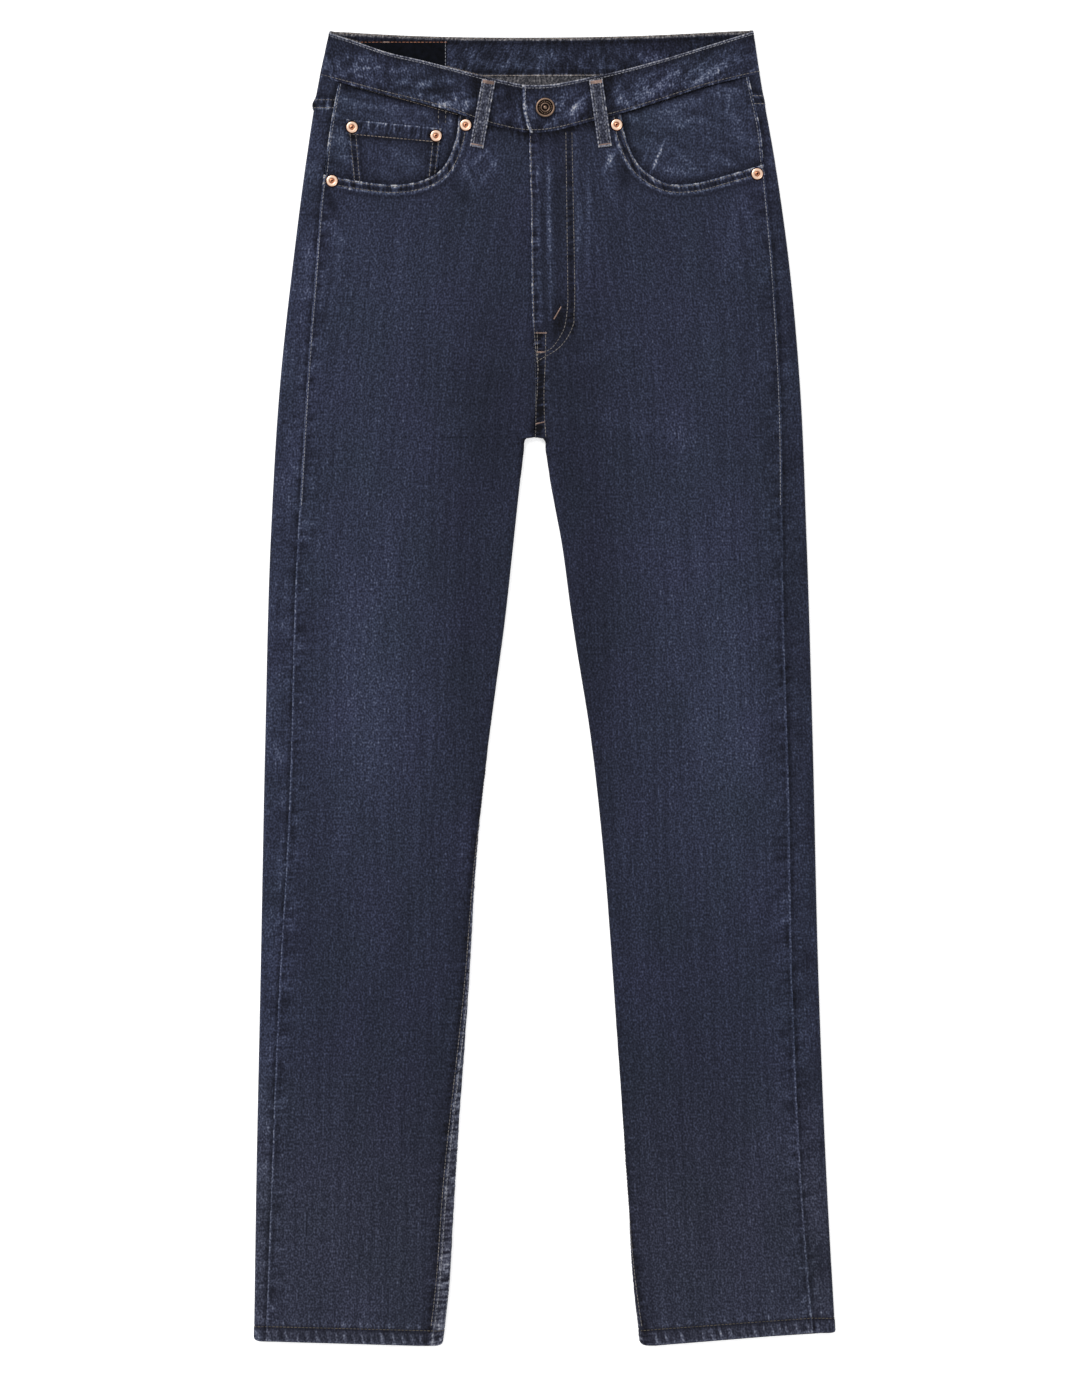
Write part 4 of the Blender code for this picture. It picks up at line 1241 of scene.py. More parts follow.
    def fly(self, paint: Paint, inside: Array, y: Array) -> Array:
        """The fly's flap: its rubbed edge, the long ridges on it and the dents of its stitching.

        Args:
            paint: The panel's paint, which this adds to.
            inside: How far each place is from the flap's edge.
            y: Heights.

        Returns:
            How far each place stands out.
        """
        flap = ramp(y, FLY_END, FLY_END + 14)
        tick = uneven(y, 5, 71)
        ridge = ramp(y, 450, 425) * ramp(y, 288, 310) * (0.60 + 0.40 * uneven(y, 14, 73))
        stitched = ramp(y, 284, 300)
        paint.worn += flap * (0.95 + 0.15 * tick) * bell(inside - 0.5, 0.85)
        stand = 0.22 * flap * tick * bell(inside - 5, 5)
        for lane, width, wear in ((6.0, 1.8, 0.55), (14.8, 1.5, 1.10), (18.5, 1.6, 0.30)):
            lane = lane + uneven(y, 40, 72)
            paint.worn += wear * ridge * bell(inside - lane, width)
            stand += 0.4 * wear * ridge * bell(inside - lane, 1.6 * width)
        stand -= stitched * lines(inside, (29.6, 1.6, 0.30), (35.0, 1.6, 0.30))
        paint.worn += (stitched * lines(inside, (38.0, 1.4, 0.28), (32.6, 2.2, -0.75))
                       - flap * lines(inside, (3, 1.6, 0.35)))
        blotch = 0.65 + 0.35 * uneven(y, 18, 74)
        paint.fade -= flap * blotch * lines(inside, (21.5, 6, 1.3), (9.5, 3.4, 1.04))
        paint.fade -= lines(inside, (22, 9, 2.2)) * bell(y - 303, 16)
        paint.ribs = np.maximum(paint.ribs, flap * lines(inside, (3, 5, 0.75), (32, 4, 0.7)))

        # Between the two rows down to the fork the cloth is painted near black
        fork = ramp(y, 274, 264) * ramp(y, 204, 212)
        short = ramp(y, 296, 290) * ramp(y, 262, 268)
        wider = 1.6 * ramp(y, 250, 208)
        paint.worn -= (1.15 * fork + 0.6 * short) * bell(inside - 3.8 - 0.6 * wider, 3.0 + wider)
        paint.worn += 0.30 * fork * bell(inside - 9.4, 1.2)
        paint.ribs = np.maximum(paint.ribs, 1.6 * np.maximum(fork, short) * bell(inside - 3.8, 4.6 + wider))
        return stand

    def skin(self) -> Skin:
        """The panel's wall.

        Returns:
            The wall.
        """
        tube, edge = self.tube, self.pocket
        level = 465  # near the seam, where the last columns are measured
        turn_width = 10  # of the columns that follow the inner edge
        length = distances(edge)[-1]
        edge = points_at(edge, graded(length, 1.75, 0.35, 1.6) * length)
        turn_x = tube.x_at(self.turn(level, turn_width), level)
        waist_x = np.linspace(edge[-1, 0], turn_x, max(3, round(abs(turn_x - edge[-1, 0]) / 1.7)))[1:]
        tops = np.concatenate([edge, np.stack([waist_x, WAIST_FRONT.at(waist_x, FOOT) - WAIST_GAP], 1)])
        begin, turn = tube.outseam(tops[:, 1]) + JOIN, self.turn(tops[:, 1], turn_width)
        shares = np.clip((tube.q_at(tops[:, 0], tops[:, 1]) - begin) / (turn - begin), 0, 1)
        shares[0], shares[-1] = 0.0, 1.0
        shares = np.maximum.accumulate(shares)
        last = graded(turn_width, 1.6, 1.6, 0.3)[1:]
        q_last = mix(self.turn(level, turn_width), self.ends(level)[1], last)
        heights = np.concatenate([tops[:, 1], tube.waist(q_last, 1, FOOT) - WAIST_GAP])
        kept = np.concatenate([shares, np.ones(len(last))])
        part = np.concatenate([np.zeros(len(shares)), last])
        down = graded(70, 2.2, 0.35, 2.2)[:-1, None]
        upper = mix(heights[None, :], SEAT_ROW, down)
        lower = tube.slanted(leg_rows()[:, None], kept[None, :])
        y = np.concatenate([upper, lower])
        start, end = self.ends(y)
        q = np.where(part > 0, mix(self.turn(y, turn_width), end, part),
                     mix(start, self.turn(y, turn_width), kept))
        return panel_wall(self, q, y, kept)

    def turn(self, y: Array, width: float) -> Array:
        """Where the columns begin that follow the inner edge closely."""
        end = self.ends(y)[1]
        return end - np.maximum(width, end - self.tube.reach(y) + self.tube.radius(y) * self.tube.roll(y) + 4)

    def stitch(self) -> None:
        """The rows of stitches along the pocket, hem, seams and fly."""
        tube, word = self.tube, self.side.word
        curve = self.pocket
        normal = np.gradient(curve, axis=0)
        normal = np.stack([-normal[:, 1], normal[:, 0]], 1) / np.linalg.norm(normal, axis=1)[:, None]
        normal *= -np.sign(normal[10, 1])  # the rows lie below the edge
        for aside in POCKET_ROWS:
            line = curve + normal * aside
            line = line[(line[:, 1] < WAIST_FRONT.at(line[:, 0], FOOT) - 1.5)
                        & (tube.q_at(line[:, 0], line[:, 1]) > self.ends(line[:, 1])[0] + 0.8)]
            line = along_curve(line, SEW_STEP)
            self.sew(f"pocket_{word}", "taupe", tube.q_at(line[:, 0], line[:, 1]), line[:, 1])
        share = np.linspace(0.0, 1.0, 200)
        level = tube.slanted(HEM_ROW, share)
        self.sew(f"hem_{word}", "brown", mix(*self.ends(level), share), level)
        y = np.arange(CROTCH_Y - 20, HEM_Y + HEM_HEIGHT + 2, -SEAM_STEP)
        self.sew(f"inseam_{word}", "taupe", self.ends(y)[1] - INSEAM_ROW, y)
        y = np.arange(470, 150, -SEAM_STEP)
        y = y[y < self.pocket[0, 1] - 2]
        self.sew(f"outseam_{word}", "grey", self.ends(y)[0] + OUTSEAM_ROW, y)
        if self.side is Side.LEFT:
            self.stitch_fly()

    def stitch_fly(self) -> None:
        """The curved double row that holds the fly, and the one down to the fork."""
        inner = [(17.1, 455), (18.6, 335.4), (18.6, 316.5), (17.2, 302.6), (14.4, 292.7), (5.5, 279.6),
                 (-6.2, 274.5)]
        outer = [(22.1, 455), (24.3, 335.4), (23.8, 307.5), (23.4, 299.6), (18.6, 288.6), (10.2, 278.8),
                 (-6.0, 269.0)]
        edge = [(-11.9, 452), (-10.7, 400), (-9.8, 335), (-8.9, 298), (-7.6, 279), (-5.4, 262)]
        fork = [(-6.4, 292), (-6.0, 268), (-6.2, 246), (-7.6, 227), (-8.2, 208)]
        fork_two = [(0.6, 292), (0.2, 268), (-0.8, 246), (-0.6, 227), (0.6, 208)]
        for points in (inner, outer, fork, fork_two, edge):
            line = along_curve(smooth_curve(points), SEW_STEP)
            self.sew("fly", "taupe", self.tube.q_at(line[:, 0], line[:, 1]), line[:, 1])
        for ends in (((7.4, 303.4), (13.1, 313.2)), ((-7.4, 291.9), (1.2, 291.9)),
                     ((-6.6, 276.3), (0.0, 276.3)),
                     ((-7.6, 217.5), (-0.6, 219.0))):
            line = along_curve(np.array(ends), TACK_STEP)
            self.sew("fly", "tack", self.tube.q_at(line[:, 0], line[:, 1]), line[:, 1])


def leg_rows() -> Array:
    """Heights of the rows below the seat: close round the fork and at the hem.

    Returns:
        The heights, from the top down.
    """
    parts = [np.arange(372, 212, -3.4), np.arange(212, 194, -0.9), np.arange(194, -518, -3.6),
             np.arange(-518, -533, -1.0), np.array([-533, -534, -534.8, -535.3, -535.7, -536])]
    rows = np.concatenate(parts)
    return np.sort(np.append(rows, CROTCH_Y))[::-1]


def panel_wall(panel: Panel, q: Array, y: Array, share: Array) -> Skin:
    """A wall of cloth over a grid of places on a panel, two layers thick at the hem.

    Args:
        panel: The panel.
        q: Distances round the tube.
        y: Heights.
        share: How far each column has crossed the leg.

    Returns:
        The wall.
    """
    stand, paint = panel.relief(q, y)
    rest = panel.rest(q, y)
    outer = panel.tube.place(q, y, panel.face, rest - stand)
    above = y - panel.tube.slanted(HEM_Y, share)
    thick = mix(CLOTH, DOUBLE, ramp(above, HEM_HEIGHT + 2, HEM_HEIGHT))
    inner = panel.tube.place(q, y, panel.face, rest + thick - 0.6 * stand)
    for grid in (outer, inner):
        grid[..., 2] += panel.lift(q, y)
    outer[..., 2] = np.maximum(outer[..., 2], 0.05)
    flat = np.stack([q * panel.face * panel.side.value, y], -1)
    back = Paint.plain(q)
    back.reverse += 1.0
    return Skin(f"{panel.part}_{panel.side.word}_denim", outer, inner, flat, paint, back)


@dataclass
class BackLeg(Panel):
    """A back leg: from the yoke down to the hem, coming round the side to the outseam."""

    face = -1
    part = "back"
    cut = (300, 1020)

    def ends(self, y: Array) -> tuple[Array, Array]:
        """The outseam, on the front, and the inseam or the centre back."""
        return JOIN - self.tube.outseam(y), self.tube.reach(y) + self.tube.inseam(y) - JOIN

    def rest(self, q: Array, y: Array) -> Array:
        """The cloth lies a little off the surface below."""
        tube = self.tube
        return GROUND_GAP * ramp(q, 0, tube.fold(y)) * ramp(tube.reach(y) - q, 0, 4)

    def relief(self, q: Array, y: Array) -> tuple[Array, Paint]:
        """Puckers along both seams and the hem's band, with flat creases underneath.

        Args:
            q: Distances round the tube.
            y: Heights.

        Returns:
            How far each place stands out, and the paint.
        """
        tube, seed = self.tube, 120 + self.side.value
        start, end = self.ends(y)
        out, inside = q - start, end - q
        x = tube.x_at(q, y)
        below = ramp(q, 0, 3 * tube.fold(y)) * ramp(inside, 0, 14)
        above = y - tube.slanted(HEM_Y, self.run(q, y))
        paint = Paint.plain(np.atleast_2d(q))
        lift, rubbed = creased(BACK_CREASES, x, y)
        stand = below * (lift + 0.3 * cloudy(x, y, (40, 60), seed))

        # Beside the outseam the cloth dips and puckers, and painted shade darkens the dip
        pucker = uneven(y - 0.6 * out, 5.2, seed + 2) * np.exp(-out / 6)
        stand = stand + 0.26 * pucker - 0.40 * bell(out, 0.7)
        paint.worn += rubbed + 0.30 * pucker - lines(out, (1, 1.8, 0.42))
        paint.marble += 0.30 * np.exp(-out / 9)
        paint.ribs += 0.35 * np.exp(-out / 9)
        paint.fade += (0.45 if self.side is Side.RIGHT else -0.35)
        paint.fade += 0.5 * (1 - below) * cloudy(q, y, (13, 17), seed + 6)

        # The inseam's felled band
        ribs = uneven(y + 0.4 * inside, 2.4, seed + 4)
        leg = ramp(y, CROTCH_Y, CROTCH_Y - 30)
        band = ramp(inside, 13, 11) * leg
        stand = stand + (0.16 + 0.24 * ribs) * band - 0.35 * bell(inside, 0.7) * unrolled(y)
        paint.worn += (0.10 * ribs + lines(inside, (0.7, 0.8, 0.26), (11, 1, 0.26))) * band
        paint.worn -= lines(inside, (13.5, 1.6, 0.5)) * leg
        paint.ribs = np.maximum(paint.ribs, 0.75 * band)
        paint.reverse += 0.16 * band + 0.14 * (1 - below) * ramp(y, -250, -450)

        hem = hem_band(self.side.value * q, above, seed + 30)
        paint.worn += hem[1]
        paint.pleats += hem[2]
        return stand + hem[0], paint

    def run(self, q: Array, y: Array) -> Array:
        """How far each place has crossed the panel's flat run."""
        fold = self.tube.fold(y)
        return np.clip((q - fold) / (self.ends(y)[1] - fold), 0, 1)

    def columns(self) -> tuple[Array, Array, Array]:
        """How the columns share out the round fold, the flat run and the inner edge.

        Returns:
            Shares from 0 to 1 for each of the three.
        """
        strip = graded(20, 1.8, 0.3, 1.2)
        fold = np.linspace(0, 1, 12)[1:]
        run = np.linspace(0, 1, 36)[1:]
        edge = graded(16, 1.6, 1.6, 0.3)[1:]
        return strip, fold, np.concatenate([run * 0.5, 0.5 + edge * 0.5])

    def grid_q(self, y: Array, columns: tuple[Array, Array, Array]) -> Array:
        """Distance round the tube of every column at these heights.

        Args:
            y: A row of heights, or several.
            columns: The shares.

        Returns:
            The distances.
        """
        strip, fold, rest = columns
        tube = self.tube
        start, end = self.ends(y)
        bend = tube.fold(y)
        turn = end - np.maximum(16, end - tube.reach(y) + tube.radius(y) * tube.roll(y) + 4)
        n, m = len(strip), len(strip) + len(fold)
        strip_q = mix(start[:, :n], -bend[:, :n], strip)
        fold_q = mix(-bend[:, n:m], bend[:, n:m], fold)
        run_q = mix(bend[:, m:], turn[:, m:], np.minimum(rest * 2, 1))
        return np.concatenate([strip_q, fold_q, mix(run_q, end[:, m:], np.maximum(rest * 2 - 1, 0))], axis=1)

    def top(self, share: Array) -> Array:
        """Height of the yoke's lower seam."""
        return mix(YOKE_SIDE_Y[self.side], YOKE_CENTRE_Y, ramp(share, -0.4, 1.2))

    def crossed(self, columns: tuple[Array, Array, Array]) -> Array:
        """How far each column has crossed the half from its outer fold.

        Args:
            columns: The shares.

        Returns:
            A share for each column.
        """
        strip, fold, rest = columns
        run = np.where(rest <= 0.5, rest * 2 * 0.92, 0.92 + (rest * 2 - 1) * 0.08)
        return np.concatenate([np.zeros(len(strip) + len(fold)), run])

    def skin(self) -> Skin:
        """The panel's wall.

        Returns:
            The wall.
        """
        columns = self.columns()
        share = self.crossed(columns)
        tops = self.top(share) - SEAM
        down = graded(100, 3.4, 0.4, 3)[:-1, None]
        upper = mix(tops[None, :], SEAT_ROW, down)
        lower = self.tube.slanted(leg_rows()[:, None], share[None, :])
        y = np.concatenate([upper, lower])
        return panel_wall(self, self.grid_q(y, columns), y, share)

    def stitch(self) -> None:
        """The rows along the hem, the inseam's band and the seat seam."""
        word, tube = self.side.word, self.tube
        share = np.linspace(0, 1, 240)
        level = np.full(240, HEM_ROW)
        q = mix(*self.ends(level), share)
        self.sew(f"hem_{word}", "brown", q, tube.slanted(level, self.run(q, level)))
        y = np.arange(CROTCH_Y - 12, HEM_Y + HEM_HEIGHT + 2, -SEAM_STEP)
        for aside in FELL_ROWS:
            self.sew(f"inseam_{word}", "grey", self.ends(y)[1] - aside, y)
        y = np.arange(440, 250, -SEAM_STEP)
        self.sew("seat", "tan", self.ends(y)[1] - SEAT_ROWS[self.side], y)


@dataclass
class Yoke(BackLeg):
    """The wedge between the waistband and a back leg. Its wrong side shows inside the waist."""

    part = "yoke"
    cut = (240, 75)

    def relief(self, q: Array, y: Array) -> tuple[Array, Paint]:
        """Puckers along the lower seam and the side, and darker lines above the lower seam and beside the
        outseam.

        Args:
            q: Distances round the tube.
            y: Heights.

        Returns:
            How far each place stands out, and the paint.
        """
        tube, seed = self.tube, 220 + self.side.value
        out = q - self.ends(y)[0]
        paint = Paint.plain(np.atleast_2d(q))
        share = np.clip((q - tube.fold(y)) / (tube.reach(y) - tube.fold(y)), 0, 1)
        edge = y - self.top(share)
        beside = ramp(q, 2 * tube.fold(y), 0)
        gather = uneven(q, 3.2, seed)
        stand = 0.2 * gather * bell(edge - 5, 6) - 0.5 * bell(out, 0.9) + beside * lines(edge, (4, 5, 0.45))
        if self.side is Side.RIGHT:
            stand = stand + 1.5 * bell(q, 7) * bell(edge - 5, 4)
        paint.worn += (0.4 * gather * bell(edge - 4, 4) + 0.3 * beside * bell(edge - 8, 1)
                       - 0.5 * bell(out - 1.2, 2))
        paint.worn += lines(edge, (0.8, 1.0, 0.5), (4.6, 1.8, -0.6), (11, 2, -0.5))
        paint.marble += lines(edge, (5, 8, 0.5))
        paint.pleats += lines(edge, (5, 5, 1.2))
        return stand, paint

    def skin(self) -> Skin:
        """The wedge's wall.

        Returns:
            The wall.
        """
        columns = self.columns()
        share = self.crossed(columns)
        q = self.grid_q(np.full((1, len(share)), 500), columns)[0]
        tops = self.tube.waist(q, -1, FOOT) - WAIST_GAP
        down = graded(30, 1.8, 0.4, 0.4)[:, None]
        y = mix(tops[None, :], self.top(share)[None, :], down)
        return panel_wall(self, self.grid_q(y, columns), y, share)

    def stitch(self) -> None:
        """Two rows above the yoke's lower seam."""
        columns = self.columns()
        for above in YOKE_ROWS:
            y = self.top(self.crossed(columns)) + above
            q = self.grid_q(y[None, :], columns)[0]
            self.sew("yoke", "taupe", q[:-3], y[:-3])


@dataclass
class Waistband:
    """One doubled strip all round, its left end over its right end at the fly."""

    fly_x: float = float(CENTRE.at(474))
    depth: float = 36.0
    lean: tuple[float, float] = (-6.0, 0.6)  # of the left end, at the top edge and at the seam
    end_top: float = 494.5  # height of the left end's upper corner
    end_height: float = 38.5
    level: float = 520  # where the band is measured round

    def rows(self) -> Array:
        """Shares of the depth at which the band's rows lie."""
        return graded(self.depth, 1.7, 0.35, 0.35)

    def stations(self) -> tuple[Array, Array, Array]:
        """Where the band is cut across: which half, on the front or round the tube, and how far along.

        Returns:
            The sign of the side, 1 on the front or 0 round the tube, and x or the distance.
        """
        right, left = LegTube(Side.RIGHT), LegTube(Side.LEFT)
        fold = right.fold(self.level)
        ends = {t.side: t.place(-fold, self.level, -1)[0] for t in (right, left)}
        reach = {t.side: float(t.reach(self.level)) for t in (right, left)}
        step = 1.7
        start = self.fly_x + BAND_UNDERLAP
        parts = [
            (-1, 1, start + graded(start - ends[Side.RIGHT], step, 0.4, step) * (ends[Side.RIGHT] - start)),
            (-1, 0, np.linspace(-fold, fold, 13)[1:]),
            (-1, 0, np.linspace(fold, reach[Side.RIGHT], 90)[1:]),
            (1, 0, np.linspace(reach[Side.LEFT], fold, 90)[1:]),
            (1, 0, np.linspace(fold, -fold, 13)[1:]),
            (1, 1, ends[Side.LEFT] + graded(ends[Side.LEFT] - self.fly_x, step, step, 0.35)[1:]
             * (self.fly_x - ends[Side.LEFT])),
        ]
        sides = np.concatenate([np.full(len(at), side) for side, _, at in parts])
        fronts = np.concatenate([np.full(len(at), front) for _, front, at in parts])
        return sides, fronts, np.concatenate([at for _, _, at in parts])

    def place(self, share: Array, depth: Array) -> Array:
        """Points on the band.

        Args:
            share: How far down from the top edge, for every row and station.
            depth: How far inside its outer side.

        Returns:
            The points.
        """
        sides, fronts, at = self.stations()
        points = np.zeros((*share.shape, 3))
        for side in Side:
            tube = LegTube(side)
            flat = (sides == side.value) & (fronts == 1)
            x, part = np.broadcast_to(at[flat], share[:, flat].shape), share[:, flat]
            y = mix(WAIST_FRONT.at(x, TOP), WAIST_FRONT.at(x, FOOT), part)
            edge = np.abs(x - tube.outer(y))
            lift = BAND_RISE * ramp(edge, tube.radius(y), tube.radius(y) + LIFT_RAMP)
            if side is Side.RIGHT:
                lift -= (DOUBLE + SEAM - FLY_RISE) * ramp(x, self.fly_x - 24, self.fly_x - 9)
            else:
                lift += FLY_RISE * ramp(x, self.fly_x + FLY_WIDTH + 10, self.fly_x + FLY_WIDTH)
                x = x + mix(*self.lean, part**3) * ramp(x, self.fly_x + 14, self.fly_x)
            points[:, flat] = np.stack([x, y, tube.height(y) + lift - depth[:, flat]], -1)
            ring = (sides == side.value) & (fronts == 0)
            q, part = at[ring], share[:, ring]
            y = mix(tube.waist(q, -1, TOP)[None, :], tube.waist(q, -1, FOOT)[None, :], part)
            points[:, ring] = tube.place(np.broadcast_to(q, y.shape), y, -1, depth[:, ring])
        return points

    def skin(self) -> tuple[Skin, Array]:
        """The band's wall, and the distance along it of each station.

        Returns:
            The wall and the distances.
        """
        count = len(self.stations()[0])
        share = np.broadcast_to(self.rows()[:, None], (len(self.rows()), count))
        middle = self.place(share[len(share) // 2:][:1], np.zeros((1, count)))[0]
        along = distances(middle)
        start = np.broadcast_to(along, share.shape)
        end = along[-1] - start
        down = share * self.depth
        up = self.depth - down
        on_front = np.broadcast_to(self.stations()[1], share.shape)
        pull = uneven(start + 0.9 * down + 2 * uneven(start, 24, 305), 4.6, 301)
        small = cloudy(start + 0.5 * down, down, (7, 6), 302)
        stand = (0.22 * pull * bell(down - 24, 12) + 0.22 * small - lines(end, (0, 0.7, 0.45))
                 - lines(start, (0, 0.7, 0.45)))
        stand = (stand - lines(down, (0, 0.7, 0.45), (2.2, 0.9, 0.16))
                 - lines(up, (0, 0.7, 0.45), (2.4, 0.9, 0.16)))
        stand = stand * mix(0.45, 1.0, on_front)
        paint = Paint.plain(share)
        paint.worn += lines(down, (0.4, 0.75, 1.15), (3.6, 1.6, -0.4)) + lines(up, (0.6, 0.8, 0.45))
        paint.worn += lines(end, (1.2, 1.4, 1.3)) + 0.16 * np.maximum(pull, -0.4) * bell(down - 25, 10)
        paint.marble += 0.35 + lines(down, (23, 13, 1.0))
        paint.pleats += 0.25 + lines(up, (0, 5, 0.5))
        paint.fade += lines(down, (22, 12, 0.4), (6, 4, -0.7)) - lines(up, (0, 4, 0.8))
        paint.reverse += lines(down, (0, 1.6, 0.35))
        self.shade(paint, self.place(share, np.zeros(share.shape)), on_front)
        inside = Paint.plain(share)
        place = self.place(share, np.full(share.shape, DOUBLE))
        edge = ramp(down, 3.4, 2.2)
        smears = uneven(start, 4, 311) * bell(up - 8, 7)
        inside.fade -= 0.6 + lines(down, (5, 6, 0.7))
        inside.marble += 0.4 + lines(up, (9, 9, 0.5))
        inside.pleats += 0.4 + lines(up, (0, 6, 0.3))
        inside.reverse += edge + lines(up, (0.6, 1.2, 0.8))
        inside.worn += (0.60 * edge + 0.2 * smears - lines(down, (5, 1.6, 0.5))
                        + lines(up, (0.6, 1.0, 0.7), (4, 2, -0.5)))
        inside.worn += creased(INSIDE_CREASES, place[..., 0], place[..., 1])[1] * (1 - on_front)
        outer, inner = self.place(share, -stand), self.place(share, DOUBLE - 0.5 * stand)
        return Skin("waistband_denim", outer, inner, np.stack([start, -down], -1), paint, inside), along

    def shade(self, paint: Paint, points: Array, on_front: Array) -> None:
        """Painted shade on the band beside the front loops and left of its left end, which stand over it, the
        keyhole's creases, and broad smears.

        Args:
            paint: The band's paint, which this adds to.
            points: Points on its outer side.
            on_front: 1 on the front and 0 on the back.
        """
        x, y = points[..., 0], points[..., 1]
        # Painted shade: left of the band's left end, and on each side of the front loops
        fade = 1.5 * ramp(x, -40, -30) * ramp(x, -20, -28)
        for node in ("belt_loop_front_right", "belt_loop_front_left"):
            low, high = box(node)
            beside = np.abs(x - mix(low.x, high.x, 0.5)) - 7
            fade = fade + 2.2 * bell(np.maximum(beside, 0), 4.5)
        edge = self.fly_x + mix(*self.lean, np.clip((self.end_top - y) / self.end_height, 0, 1) ** 3)
        fade = fade + 3.0 * bell(np.maximum(edge - x, 0), 2.2) * (x < edge)
        paint.fade -= on_front * fade
        paint.worn += on_front * creased(BAND_CREASES, x, y)[1]

    def stitch(self, skin: Skin) -> None:
        """One row near the top edge and one near the seam, and one down the left end.

        Args:
            skin: The band's wall.
        """
        out = skin.outer - skin.inner
        out /= np.linalg.norm(out, axis=-1, keepdims=True)
        for kind, down in BAND_ROWS.items():
            row = int(np.searchsorted(self.rows() * self.depth, down))
            RUNS.add("waistband", kind, skin.outer[row], out[row])
        RUNS.add("waistband", "grey", skin.outer[2:-2, -5], out[2:-2, -5])
        below = np.arange(len(skin.inner[0]))[skin.inner[-3, :, 2] < 5]
        for row in (-3, 2):
            RUNS.add("waistband_inside", "tan", skin.inner[row, below], UP)

    def build(self) -> Object:
        """Makes the band and lines up its stitches.

        Returns:
            The finished piece.
        """
        skin, along = self.skin()
        self.stitch(skin)
        return lay(skin, BAND_DENIM, (float(along[-1]), 40), "waistband")


def strip(name: str, points: Array, up: Array, thick: float, stand: Array, paint: Paint, flat: Array,
          inside: Paint | None = None) -> Skin:
    """A wall of cloth from the points on its outer side.

    Args:
        name: The piece's name.
        points: A grid on its outer side.
        up: The outward direction.
        thick: How thick it is.
        stand: How far each place stands out.
        paint: The outer side's paint.
        flat: Where each place lies on the flat cloth.
        inside: The inner side's paint, if it is another.

    Returns:
        The wall.
    """
    outer = points + up * stand[..., None]
    return Skin(name, outer, points - up * thick, flat, paint, inside)


@dataclass
class BeltLoop:
    """A belt loop: a folded strip, tacked down at its top and foot."""

    node: str
    top: tuple[float, float]
    foot: tuple[float, float]
    width: float = 11.2

    def build(self) -> Object:
        """Makes the loop and lines up its stitches.

        Returns:
            The finished piece.
        """
        front = "front" in self.node
        a, b = np.array(self.top), np.array(self.foot)
        length = float(np.linalg.norm(b - a))
        along = (b - a) / length
        across = np.array([-along[1], along[0]])
        s = graded(length, 1.0, 0.3, 0.3)[:, None]
        t = (graded(self.width, 0.8, 0.25, 0.25)[None, :] * 2 - 1)
        s, t = np.broadcast_arrays(s, t)
        aside = t * self.width / 2
        xy = a + s[..., None] * (b - a) + aside[..., None] * across
        if front:
            middle = a + s[..., None] * (b - a)
            seam = WAIST_FRONT.at(middle[..., 0], FOOT)
            z = SEAT_HEIGHT + SEAM + CLOTH + BAND_RISE * ramp(middle[..., 1], seam - 8, seam - 2.5)
            z = z + 0.8 * np.sin(math.pi * np.minimum(1.0, s / 0.8))
            up = UP
        else:
            z, up = np.full(s.shape, 0.15), DOWN
        points = np.concatenate([xy, z[..., None]], -1)
        edge = self.width / 2 - np.abs(aside)
        end = np.minimum(s, 1 - s) * length
        ripple = uneven(s * length + 0.4 * aside, 2.6, len(self.node) + round(abs(self.top[0])))
        stand = 0.10 * ripple + lines(edge, (1.6, 1.4, 0.16), (0, 0.5, -0.4)) - lines(aside, (0, 1.2, 0.16))
        stand = stand - lines(end, (0, 0.5, 0.4))
        stand = stand if front else -np.abs(stand) * 0.3
        paint = Paint.plain(s)
        paint.worn += (lines(edge, (0.5, 0.8, 0.85), (3.2, 0.7, 0.25), (1.9, 0.6, -0.3))
                       + lines(end, (0, 1.2, 0.5)))
        paint.worn += 0.15 * ripple
        paint.marble += 0.4
        paint.ribs += 0.4
        paint.fade += 0.3
        paint.reverse += 0.24
        flat = np.stack([aside, -s * length], -1)
        skin = strip(f"{self.node}_denim", points, up, CLOTH, stand, paint, flat)
        outer = skin.outer
        for column in (int(len(t[0]) * 0.27), int(len(t[0]) * 0.73)):
            RUNS.add("belt_loops", "grey", outer[2:-2, column], up)
        for row in (3, 4, 5, -5):
            RUNS.add("belt_loops", "tack", along_curve(outer[row, 3:-3], TACK_STEP), up)
        return lay(skin, LOOP_DENIM, (self.width, length), self.node, *(["waistband"] if front else []))


